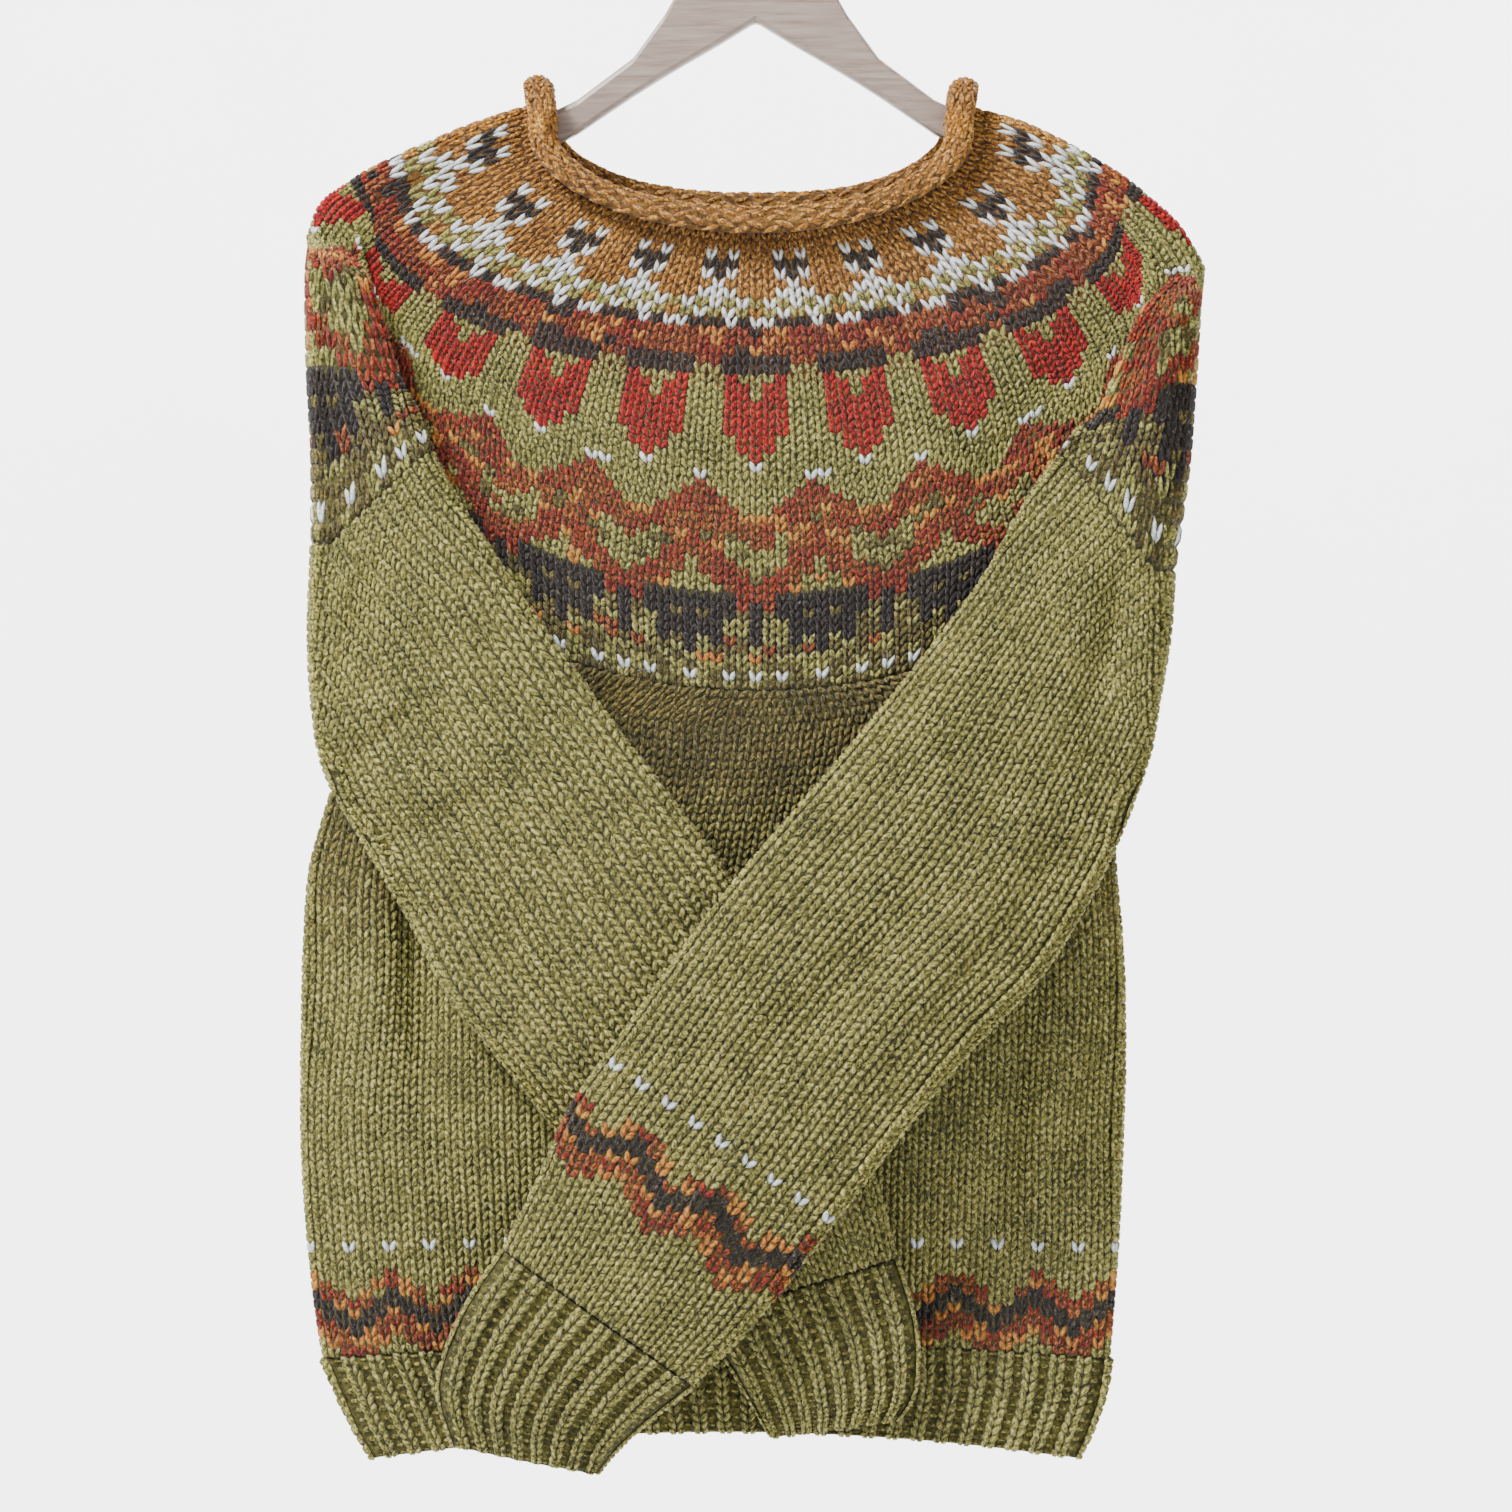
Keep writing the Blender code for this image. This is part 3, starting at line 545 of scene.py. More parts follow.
# the rings as a fine grid: rows down the cloth, columns round it
def fineGrid(rings, downSteps=4, roundSteps=3):
    grid = np.array([[tuple(point) for point in ring] for ring in rings])
    before, after, beyond = np.roll(grid, 1, 1), np.roll(grid, -1, 1), np.roll(grid, -2, 1)
    parts = [curvePoint(before, grid, after, beyond, step / roundSteps) for step in range(roundSteps)]
    grid = np.stack(parts, 2).reshape(grid.shape[0], -1, 3)
    rows = []
    for i in range(len(grid) - 1):
        above, below = grid[max(i - 1, 0)], grid[min(i + 2, len(grid) - 1)]
        for step in range(downSteps):
            rows.append(curvePoint(above, grid[i], grid[i + 1], below, step / downSteps))
    rows.append(grid[-1])
    return np.array(rows)


def unit(vectors):
    return vectors / np.maximum(np.linalg.norm(vectors, axis=-1, keepdims=True), 1e-9)


# outward directions of a grid whose rows run from the front round by -X
def gridNormals(grid):
    along = np.roll(grid, -1, 1) - np.roll(grid, 1, 1)
    down = np.gradient(grid, axis=0)
    return unit(np.cross(along, down))


# a soft trough or ridge in the cloth. x and drop are its middle in millimetres, width and length its
# reach; a depth below zero is a hollow. turn is its lean in degrees and bow its bend; side -1 is the back
def crease(x, drop, width, length, depth, turn, bow=0.0, side=1.0):
    return dict(x=x, drop=drop, width=width, length=length, depth=depth, turn=turn, bow=bow, side=side)


def creased(grid, normals, creases, stillShare=0.08):
    x = grid[:, :, 0] * 1000.0
    drop = -grid[:, :, 2] * 1000.0 - form["hookTop"] * 1000.0
    moved = np.zeros(x.shape)
    for trough in creases:
        angle = math.radians(trough["turn"])
        dx, dz = x - trough["x"], drop - trough["drop"]
        along = (dx * math.sin(angle) + dz * math.cos(angle)) / trough["length"]
        across = (dx * math.cos(angle) - dz * math.sin(angle)) / trough["width"]
        across = across - trough["bow"] * along * along
        facing = np.clip(-normals[:, :, 1] * trough["side"], 0.0, 1.0) ** 0.5
        moved += trough["depth"] * np.exp(-across ** 2 - along ** 4) * facing
    # the rings that join other pieces stay where they are
    rowShare = np.linspace(0.0, 1.0, len(grid))[:, None]
    ends = np.clip(np.minimum(rowShare, 1.0 - rowShare) / stillShare, 0.0, 1.0)
    return grid + normals * (moved * ends / 1000.0)[:, :, None]


# a closed thin wall on a grid: proud and deep are its two faces, in metres from the middle surface
def clothShell(name, grid, normals, materials, faceSlots=None, proud=0.0004, deep=0.0010):
    rows, columns = grid.shape[:2]
    outer = (grid + normals * proud).reshape(-1, 3)
    inner = (grid - normals * deep).reshape(-1, 3)
    count = rows * columns
    i, j = np.meshgrid(np.arange(rows - 1), np.arange(columns), indexing="ij")
    k = (j + 1) % columns
    a, b, c, d = i * columns + j, i * columns + k, (i + 1) * columns + k, (i + 1) * columns + j
    outside = np.stack([a, b, c, d], -1).reshape(-1, 4)
    inside = np.stack([a, d, c, b], -1).reshape(-1, 4) + count
    j = np.arange(columns)
    k = (j + 1) % columns
    last = (rows - 1) * columns
    top = np.stack([j, j + count, k + count, k], -1)
    bottom = np.stack([last + j, last + k, last + k + count, last + j + count], -1)
    slots = np.zeros(len(outside), int) if faceSlots is None else np.repeat(faceSlots, columns)
    slots = np.concatenate([slots, slots, np.full(columns, slots[0]), np.full(columns, slots[-1])])
    quads = np.concatenate([outside, inside, top, bottom])
    return meshPiece(name, np.concatenate([outer, inner]), quads, slots, materials)


# a mesh object from arrays; a face whose last corner is -1 has three corners
def meshPiece(name, points, faces, slots, materials):
    mesh = bpy.data.meshes.new(name)
    mesh.vertices.add(len(points))
    mesh.vertices.foreach_set("co", points.ravel())
    sizes = np.where(faces[:, 3] < 0, 3, 4)
    corners = faces.ravel()
    corners = corners[corners >= 0]
    mesh.loops.add(len(corners))
    mesh.loops.foreach_set("vertex_index", corners.astype(np.int32))
    mesh.polygons.add(len(faces))
    starts = np.concatenate([[0], np.cumsum(sizes)[:-1]])
    mesh.polygons.foreach_set("loop_start", starts.astype(np.int32))
    for material in materials:
        mesh.materials.append(material)
    mesh.polygons.foreach_set("material_index", slots.astype(np.int32))
    mesh.update(calc_edges=True)
    mesh.validate()
    mesh.shade_smooth()
    made = bpy.data.objects.new(name, mesh)
    bpy.context.scene.collection.objects.link(made)
    return made


# a grid's row at a place between two of its rows
def rowAt(grid, place):
    i = min(int(place), len(grid) - 2)
    t = place - i
    return grid[i] * (1 - t) + grid[i + 1] * t


# between a row's points at and the next ones, by the shares f
def alongRow(row, at, f):
    return row[at] * (1 - f) + row[(at + 1) % len(row)] * f


# how far a stitch may lean, and how low and how high it may be in metres
stitchLimits = dict(slant=0.8, heights=(0.0025, 0.0085))


# places, directions and sizes of the stitches, one knitted row at a time
class Stitches:
    def __init__(self):
        self.parts = []

    # rows are places down the grid, count the stitches round it; chart gives a wool for (row, stitch)
    def addBand(self, grid, normals, rowPlaces, count, chart, phase=0.0):
        pitch = np.gradient(rowPlaces)
        for number, place in enumerate(rowPlaces):
            line = rowAt(grid, place)
            face = unit(rowAt(normals, place))
            # the cloth between half a row above and half a row below
            edges = [min(max(place + half * pitch[number], 0.0), len(grid) - 1.0) for half in (-0.5, 0.5)]
            rowFall = rowAt(grid, edges[1]) - rowAt(grid, edges[0])
            gaps = np.linalg.norm(np.diff(np.concatenate([line, line[:1]]), axis=0), axis=1)
            lengths = np.concatenate([[0.0], np.cumsum(gaps)])
            wanted = (np.arange(count) + phase) / count % 1.0 * lengths[-1]
            at = np.searchsorted(lengths, wanted, side="right") - 1
            at = np.clip(at, 0, len(line) - 1)
            f = ((wanted - lengths[at]) / (lengths[at + 1] - lengths[at]))[:, None]
            centre = alongRow(line, at, f)
            normal = unit(alongRow(face, at, f))
            around = unit(np.roll(line, -1, 0) - line)[at]
            around = unit(around - normal * (around * normal).sum(1, keepdims=True))
            fall = alongRow(rowFall, at, f)
            down = unit(np.cross(normal, around))
            # a row that runs aslant has its stitches lean with the columns
            slant = (fall * around).sum(1) / np.maximum((fall * down).sum(1), 1e-6)
            slant = np.clip(slant, -stitchLimits["slant"], stitchLimits["slant"])
            down = unit(down + around * slant[:, None])
            high = np.clip(np.linalg.norm(fall, axis=1), *stitchLimits["heights"])
            wide = np.full(count, lengths[-1] / count)
            slots = np.array([woolNames.index(chart(number, j)) for j in range(count)])
            self.parts.append((centre, around, down, normal, wide, high, slots))
        return self

    def arrays(self):
        return [np.concatenate(values) for values in zip(*self.parts)]


# one leg of a stitch, in shares of the stitch's width and height, and how far each stitch differs
knitLeg = dict(
    topAcross=0.43, topRise=0.78, footAcross=0.07, footDrop=0.70, radius=0.215,
    sunk=0.10, shoulders=(0.28, 0.70),
    widths=(0.94, 1.05), heights=(0.96, 1.06), radii=(0.92, 1.08), plumps=(0.9, 1.1),
    strayAcross=0.02, strayDown=0.025,
)


# one leg of yarn from start to end: a plump ridge of 8 points with its back in the cloth
def yarnLegs(start, end, side, normal, radius, height):
    points = np.empty((len(start), 8, 3))
    sunk = normal * (knitLeg["sunk"] * height)[:, None]
    points[:, 0] = start - sunk
    points[:, 7] = end - sunk
    for ring, share in zip((1, 4), knitLeg["shoulders"]):
        middle = start + (end - start) * share
        points[:, ring] = middle + side * radius[:, None] - sunk
        points[:, ring + 1] = middle + normal * height[:, None]
        points[:, ring + 2] = middle - side * radius[:, None] - sunk
    return points


legFaces = np.array([
    (0, 2, 1, -1), (0, 3, 2, -1), (0, 1, 3, -1),
    (1, 2, 5, 4), (2, 3, 6, 5), (3, 1, 4, 6),
    (7, 4, 5, -1), (7, 5, 6, -1), (7, 6, 4, -1),
])


# the stitches as one mesh of V shapes: each has two legs that meet at its foot
def knitPiece(name, stitches, width=1.02, plump=0.24, lift=0.0004):
    centre, around, down, normal, wide, high, slots = stitches.arrays()
    n = len(centre)
    wide = wide * width * rng.uniform(*knitLeg["widths"], n)
    high = high * rng.uniform(*knitLeg["heights"], n)
    centre = centre + normal * lift + around * (rng.normal(0.0, knitLeg["strayAcross"], n) * wide)[:, None]
    centre = centre + down * (rng.normal(0.0, knitLeg["strayDown"], n) * high)[:, None]
    rise = down * (knitLeg["topRise"] * high)[:, None]
    fall = down * (knitLeg["footDrop"] * high)[:, None]
    legs = []
    for hand in (-1.0, 1.0):
        start = centre + around * (hand * knitLeg["topAcross"] * wide)[:, None] - rise
        end = centre + around * (hand * knitLeg["footAcross"] * wide)[:, None] + fall
        side = unit(np.cross(normal, unit(end - start)))
        radius = knitLeg["radius"] * wide * rng.uniform(*knitLeg["radii"], n)
        height = plump * wide * rng.uniform(*knitLeg["plumps"], n)
        legs.append(yarnLegs(start, end, side, normal, radius, height))
    return yarnMesh(name, np.concatenate(legs), np.tile(slots, 2))


def yarnMesh(name, points, slots):
    n = len(points)
    base = (np.arange(n) * 8)[:, None, None]
    faces = np.where(legFaces[None] < 0, -1, legFaces[None] + base).reshape(-1, 4)
    # the first leg's volume tells whether its faces look outward
    leg = points[0] - points[0][0]
    volume = sum(leg[a] @ np.cross(leg[b], leg[c]) for a, b, c, d in legFaces)
    volume += sum(leg[a] @ np.cross(leg[c], leg[d]) for a, b, c, d in legFaces if d >= 0)
    if volume < 0.0:
        faces = np.where(faces[:, 3:] < 0, faces[:, [0, 2, 1, 3]], faces[:, [0, 3, 2, 1]])
    used = sorted(set(slots.tolist()))
    remap = np.array([used.index(s) if s in used else 0 for s in range(len(woolNames))])
    materials = [wools[woolNames[s]] for s in used]
    faceSlots = np.repeat(remap[slots], len(legFaces))
    return meshPiece(name, points.reshape(-1, 3), faces, faceSlots, materials)


# the small repeats, a letter for each stitch, from the middle of the front round by -X
neckChart = (
    "oooooo",
    "oooooo",
    "oowowo",
    "oodddo",
    "oowdwo",
    "ooowoo",
    "oowwwo",
    "gwgwgw",
    "ogwgwg",
)
ringChart = (
    "wdwdddw",
    "rrrrrrr",
    "rrrrrrr",
    "rrrrrrr",
    "dddrrdd",
    "dddggdd",
)
letterWool = dict(o="ochre", w="white", d="dark", r="rust", g="green")


def neckWool(row, stitch):
    return letterWool[neckChart[row][stitch % 6]]


# one of the wools that are carded together, by their shares
def mixed(shares):
    pick = rng.random() * sum(shares.values())
    for wool, share in shares.items():
        pick -= share
        if pick < 0.0:
            return wool
    return wool


def ringWool(row, stitch):
    wool = letterWool[ringChart[row][stitch % 7]]
    return mixed(dict(rust=6, brick=3, orange=1.2, dark=0.8)) if wool == "rust" else wool


# a red tulip five stitches wide, upside down, with a white stitch under its tip and between two of them;
# each row has the least and the most that a red stitch stands off its middle
tulipHalfWidths = ((2, 2), (1, 2), (1, 2), (0, 2), (0, 2), (0, 2), (0, 2), (0, 1), (0, 1), (0, 0))


def tulipWool(row, stitch):
    column = stitch % 8
    off = min(column, 8 - column)
    repeat = ((stitch + 4) // 8) % 2
    if row < len(tulipHalfWidths):
        inner, outer = tulipHalfWidths[row]
        if inner <= off <= outer:
            return "red"
        return "green"
    if row == len(tulipHalfWidths):
        return "white" if off == 0 else "green"
    return "white" if off == 4 or (repeat and column == 3) else "green"


# two chevrons of rust over green, then the dark crown, a row of white stitches and plain green;
# the slopes and depths are in rows
zigzag = dict(
    upperSlope=0.8, lowerTop=5.4, lowerSlope=1.3, rim=1.0, deep=3.6, crownRow=13, mixedRow=20, whiteRow=22,
)


def zigzagWool(row, stitch):
    column = stitch % 10
    off = abs(column - 5)
    if row < zigzag["crownRow"]:
        upper = zigzag["upperSlope"] * off
        lower = zigzag["lowerTop"] + zigzag["lowerSlope"] * off
        if row < upper:
            return "green"
        if row < upper + zigzag["rim"]:
            return mixed(dict(orange=6, rust=2)) if off >= 4 else "brick"
        if row < upper + zigzag["deep"]:
            return mixed(dict(rust=5, brick=5, orange=1))
        if row < lower:
            return mixed(dict(green=6, olive=2, rust=1) if off > 2 else dict(rust=4, orange=4, olive=3))
        if row < lower + zigzag["deep"]:
            return mixed(dict(brick=7, rust=3))
        return mixed(dict(green=6, orange=2))
    if row < zigzag["mixedRow"]:
        return crownWool(row - zigzag["crownRow"], column)
    if row == zigzag["mixedRow"]:
        return mixed(dict(olive=3, green=3, orange=1))
    if row == zigzag["whiteRow"] and column in (0, 2, 5, 8):
        return "white"
    return mixed(dict(green=2, olive=3))


def crownWool(row, column):
    off = min(column, 10 - column)
    if row == 0:
        return "dark" if off > 1 else "brick"
    if row == 1:
        return "dark" if off != 1 else "brick"
    if row == 2:
        return "olive" if off in (1, 4) else "dark"
    if row in (3, 4):
        return "dark" if off >= 3 or off == 0 else mixed(dict(green=3, olive=2))
    if row == 5:
        return "dark" if off in (0, 3, 5) else mixed(dict(green=2, olive=2, rust=1))
    return "dark" if off == 5 else mixed(dict(green=3, olive=3, rust=1))


yokeKnit = dict(
    # begin and end are drops down the middle of the front, in millimetres
    bands=(
        dict(begin=115.0, end=158.6, rows=9, repeat=6, wool=neckWool, ground="ochre"),
        dict(begin=158.6, end=187.0, rows=6, repeat=7, wool=ringWool, ground="rust"),
        dict(begin=187.0, end=240.0, rows=12, repeat=8, wool=tulipWool, ground="green"),
        dict(begin=240.0, end=345.0, rows=24, repeat=10, wool=zigzagWool, ground="green"),
    ),
    repeats=20, fibres=(1500, 1900),
    # the dark crown's backs, drops down the middle
    darkBacks=(297.0, 325.0),
    creases=(
        crease(-150, 190, 16, 60, -3.1, 35),
        crease(140, 205, 15, 55, -3.1, -38),
        crease(-120, 300, 14, 50, -2.5, 30),
        crease(-90, 210, 20, 90, -3.1, 25, side=-1),
        crease(110, 240, 18, 80, 3.1, -20, side=-1),
    ),
    flat=(1.10, 0.265),
)


# where the drops lie down the first column of a grid
def placesOfDrops(grid, drops):
    down = -grid[:, 0, 2] * 1000.0 - form["hookTop"] * 1000.0
    return np.interp(drops, down, np.arange(len(grid)))


def bandRows(begin, end, rows):
    return begin + (end - begin) * (np.arange(rows) + 0.5) / rows


def makeYoke():
    rings = smoothBetween(yokeLevels(), yoke["extraRows"])
    grid = fineGrid(rings)
    grid = creased(grid, gridNormals(grid), yokeKnit["creases"])
    normals = gridNormals(grid)
    middleDrops = -grid[:-1, 0, 2] * 1000.0 - form["hookTop"] * 1000.0
    slots = np.zeros(len(middleDrops), int)
    for band in yokeKnit["bands"]:
        inside = (middleDrops >= band["begin"] - 1.0) & (middleDrops < band["end"])
        slots[inside] = groundNames.index(band["ground"])
    crown = (middleDrops > yokeKnit["darkBacks"][0]) & (middleDrops < yokeKnit["darkBacks"][1])
    slots[crown] = groundNames.index("dark")
    shell = clothShell("yokeCloth", grid, normals, list(grounds.values()), slots)
    upper, lower = Stitches(), Stitches()
    for band in yokeKnit["bands"]:
        places = placesOfDrops(grid, bandRows(band["begin"], band["end"], band["rows"]))
        stitches = lower if band["wool"] is zigzagWool else upper
        stitches.addBand(grid, normals, places, band["repeat"] * yokeKnit["repeats"], band["wool"])
    pieces = knitAll("yoke", dict(Upper=upper, Lower=lower), yokeKnit["fibres"])
    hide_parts("yoke_upper", "yoke_lower")
    dressPiece(shell, pieces, grid)
    return rings


# the stitches of each half of a piece, then their loose fibres
def knitAll(name, halves, fibres):
    pieces = [knitPiece(name + "Stitches" + half, stitches) for half, stitches in halves.items()]
    for count, (half, stitches) in zip(fibres, halves.items()):
        pieces.append(looseFibres(name + "Fibres" + half, stitches, count))
    return pieces


# fine hairs that stand out of the yarn here and there; root, length and radius in metres
hair = dict(root=0.0010, across=0.3, rise=(0.05, 0.45), length=(0.004, 0.009), radius=0.00007)


def looseFibres(name, stitches, count):
    centre, around, down, normal, wide, _, slots = stitches.arrays()
    pick = rng.integers(0, len(centre), count)
    centre, around, down, normal = centre[pick], around[pick], down[pick], normal[pick]
    start = centre + normal * hair["root"]
    start = start + around * (rng.normal(0.0, hair["across"], count) * wide[pick])[:, None]
    bearing = rng.uniform(0.0, 2.0 * math.pi, count)[:, None]
    flat = around * np.cos(bearing) + down * np.sin(bearing)
    rise = rng.uniform(*hair["rise"], count)[:, None]
    end = start + unit(flat + normal * rise) * rng.uniform(*hair["length"], count)[:, None]
    side = unit(np.cross(normal, flat))
    thin = np.full(count, hair["radius"])
    legs = yarnLegs(start, end, side, -unit(np.cross(flat, side)), thin, thin)
    return yarnMesh(name, legs, slots[pick])


# what every knitted piece needs: it rides the one body, and the shell's size round and down is printed
def dressPiece(shell, stitches, grid):
    for piece in [shell] + stitches:
        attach(piece, "root")
    across = np.linalg.norm(np.roll(grid, -1, 1) - grid, axis=2).sum(1).mean()
    down = np.linalg.norm(np.diff(grid, axis=0), axis=2).sum(0).mean()
    print(shell.name, "is %.3f round and %.3f long" % (across, down))


yokeRings = makeYoke()


# a rolled band of slanting bumps; sizes in metres, lean and reach in shares of a bump's pitch
neck = dict(
    turn=232.0, radius=0.0064, bandHeight=0.004, sectionSteps=22, proud=0.0010, flat=(0.66, 0.030),
    bumpRows=10, bumps=84, firstRow=0.3, bumpHeight=0.0014, bumpRadius=0.0016, bumpLift=0.0009,
    lean=0.33, reach=0.62, stray=0.00012, sizes=(0.92, 1.08),
)


def makeNeckband():
    top = fineGrid(yokeRings[:2], 1, 3)
    normals = gridNormals(top)[0]
    upward = unit(top[0] - top[1])
    upward = unit(upward - normals * (upward * normals).sum(1, keepdims=True))
    angles = np.concatenate([[0.0], np.radians(np.linspace(0.0, neck["turn"], neck["sectionSteps"]))])
    ups = neck["bandHeight"] + neck["radius"] * np.sin(angles)
    outs = neck["radius"] * (1.0 - np.cos(angles))
    ups[0] = form["seamGap"]
    grid = np.array([top[0] + upward * up + normals * out for up, out in zip(ups, outs)])
    faces = np.array([-(normals * math.cos(a)) + upward * math.sin(a) for a in angles])
    shell = clothShell("neckbandCloth", grid, faces, [grounds["ochre"]], proud=neck["proud"])
    bumps = []
    for row in range(neck["bumpRows"]):
        place = 1.0 + (neck["sectionSteps"] - 1) * (row + neck["firstRow"]) / neck["bumpRows"]
        line = rowAt(grid, place)
        face = unit(rowAt(faces, place))
        at = (np.arange(neck["bumps"]) + 0.5 * (row % 2)) / neck["bumps"] * len(line)
        low = at.astype(int) % len(line)
        f = (at - at.astype(int))[:, None]
        centre = alongRow(line, low, f)
        normal = unit(alongRow(face, low, f))
        around = unit(np.roll(line, -1, 0) - line)[low]
        down = np.cross(normal, around)
        pitch = np.linalg.norm(np.roll(line, -1, 0) - line, axis=1).sum() / neck["bumps"]
        lean = neck["lean"] if row % 2 else -neck["lean"]
        reach = (around + down * lean) * neck["reach"] * pitch
        centre = centre + normal * neck["bumpLift"] + rng.normal(0.0, neck["stray"], centre.shape)
        size = rng.uniform(*neck["sizes"], len(centre))
        side = unit(np.cross(normal, unit(reach)))
        radius, height = neck["bumpRadius"] * size, neck["bumpHeight"] * size
        bumps.append(yarnLegs(centre - reach, centre + reach, side, normal, radius, height))
    points = np.concatenate(bumps)
    purls = yarnMesh("neckbandPurls", points, np.full(len(points), woolNames.index("ochre")))
    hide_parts("neckband")
    dressPiece(shell, [purls], grid)


makeNeckband()


bodyKnit = dict(
    # begin and end are drops down the middle of the front, in millimetres
    begin=345.5, end=672.0, count=126, rows=74, fibres=(1700, 1700), whiteEvery=3, flat=(0.86, 0.37),
    # painted shade beneath the sleeves: how many steps of darker wool the first row takes, the rows it
    # takes to lose one step of that, and how ragged the change is
    sleeveShade=2.4, sleeveShadeRows=14.0, ragged=0.35,
    creases=(
        crease(-172, 470, 11, 80, -6.2, 4, bow=0.3),
        crease(-196, 520, 9, 60, 3.1, -8, bow=0.2),
        crease(160, 500, 12, 90, 5.0, -9, bow=-0.3),
        crease(128, 560, 10, 65, -4.4, -6),
        crease(185, 600, 10, 50, -3.1, 10),
        crease(-60, 600, 20, 60, 2.5, 10),
        crease(-140, 440, 18, 120, -3.8, 8, side=-1),
        crease(-30, 520, 22, 140, -3.1, -4, side=-1),
        crease(90, 470, 18, 130, -3.8, -10, side=-1),
        crease(30, 590, 18, 80, 3.1, 6, side=-1),
    ),
)


# above the rib, counted up from it: a dark zigzag between two of rust, and a row of white stitches
hemBand = dict(repeat=6, foot=1.5, dark=2.0, below=-2.6, above=4.0, whiteRow=11)


def hemBandWool(rowsUp, stitch, whiteEvery):
    off = abs(stitch % hemBand["repeat"] - hemBand["repeat"] // 2)
    if rowsUp == hemBand["whiteRow"]:
        return "white" if stitch % whiteEvery == 0 else "green"
    height = rowsUp - hemBand["foot"] - off
    if 0.0 <= height < hemBand["dark"]:
        return "dark"
    if hemBand["below"] <= height < 0.0:
        return mixed(dict(rust=4, brick=3, orange=3))
    if hemBand["dark"] <= height < hemBand["above"]:
        return mixed(dict(rust=3, brick=2, orange=3, green=2 * (height - hemBand["dark"])))
    return "green"


def makeBody():
    base = yokeRings[-1]
    rings = [lowered(firstBodyRing(base), form["seamGap"])]
    rings += [bodyRing(level, len(rings[0])) for level in body["rings"]]
    grid = fineGrid(rings)
    grid = creased(grid, gridNormals(grid), bodyKnit["creases"])
    normals = gridNormals(grid)
    shell = clothShell("bodyCloth", grid, normals, [grounds["green"]])
    places = placesOfDrops(grid, bandRows(bodyKnit["begin"], bodyKnit["end"], bodyKnit["rows"]))
    half = bodyKnit["rows"] // 2

    # painted shade: the body's top rows, where the sleeves shade it, are knitted in the darker olive and
    # moss wools and change stitch by stitch to the green one
    def wool(row, stitch):
        sleeveShadeLevel = bodyKnit["sleeveShade"] - row / bodyKnit["sleeveShadeRows"]
        sleeveShadeLevel += rng.uniform(-bodyKnit["ragged"], bodyKnit["ragged"])
        if sleeveShadeLevel > 0.5:
            return "olive" if sleeveShadeLevel > 1.5 else "moss"
        return hemBandWool(bodyKnit["rows"] - 1 - row, stitch, bodyKnit["whiteEvery"])

    def lowerWool(row, stitch):
        return wool(row + half, stitch)

    upper = Stitches().addBand(grid, normals, places[:half], bodyKnit["count"], wool)
    lower = Stitches().addBand(grid, normals, places[half:], bodyKnit["count"], lowerWool)
    pieces = knitAll("body", dict(Upper=upper, Lower=lower), bodyKnit["fibres"])
    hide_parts("body")
    dressPiece(shell, pieces, grid)


makeBody()


# knit one, purl one: each rib's knit stitches stand proud in a column, the purls lie back between them
rib = dict(
    # metres, then how far from the grid's two ends the first and last rows lie, in its rows
    stand=0.0013, knitLift=0.0006, level=0.4, firstRow=0.4, lastRow=1.35, columnSteps=8,
    # shares of a stitch
    knitWidth=0.62, knitPlump=0.26, purlReach=0.22, purlRadius=0.34, purlHeight=0.10, sizes=(0.9, 1.1),
    hem=dict(ribs=63, rows=11, flat=(0.80, 0.048)), cuff=dict(ribs=18, rows=20, flat=(0.20, 0.085)),
)


def ribRings(rings, ribs):
    return [even(ring, ribs * rib["columnSteps"]) for ring in rings]


def ribPiece(name, node, rings, ribs, rows, flat):
    grid = fineGrid(rings, 4, 1)
    normals = gridNormals(grid)
    columns = grid.shape[1]
    share = np.arange(columns) / columns * ribs
    wave = 0.5 + 0.5 * np.cos(2.0 * math.pi * share)
    ridge = grid + normals * (rib["stand"] * (wave - rib["level"]))[None, :, None]
    shell = clothShell(name + "Cloth", ridge, gridNormals(ridge), [grounds["green"]])
    places = np.linspace(rib["firstRow"], len(grid) - rib["lastRow"], rows)
    knits = Stitches().addBand(ridge, normals, places, ribs, lambda row, stitch: "green")
    chain = knitPiece(name + "Knits", knits, rib["knitWidth"], rib["knitPlump"], rib["knitLift"])
    # painted shade: the purls that lie back in the hollows between the ribs are in the darker moss wool
    purls = Stitches().addBand(ridge, normals, places, ribs, lambda row, stitch: "moss", 0.5)
    centre, along, _, normal, wide, high, slots = purls.arrays()
    reach = along * (rib["purlReach"] * wide)[:, None]
    size = rng.uniform(*rib["sizes"], len(centre))
    side = unit(np.cross(normal, along))
    radius, height = rib["purlRadius"] * high * size, rib["purlHeight"] * wide * size
    bumps = yarnLegs(centre - reach, centre + reach, side, normal, radius, height)
    backs = yarnMesh(name + "Purls", bumps, slots)
    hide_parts(node)
    dressPiece(shell, [chain, backs], grid)


hemRings = ribRings([bodyRing(level, body["hemSteps"]) for level in body["hem"]], rib["hem"]["ribs"])
ribPiece("hemRib", "hem_rib", hemRings, **rib["hem"])
print("body knitted")


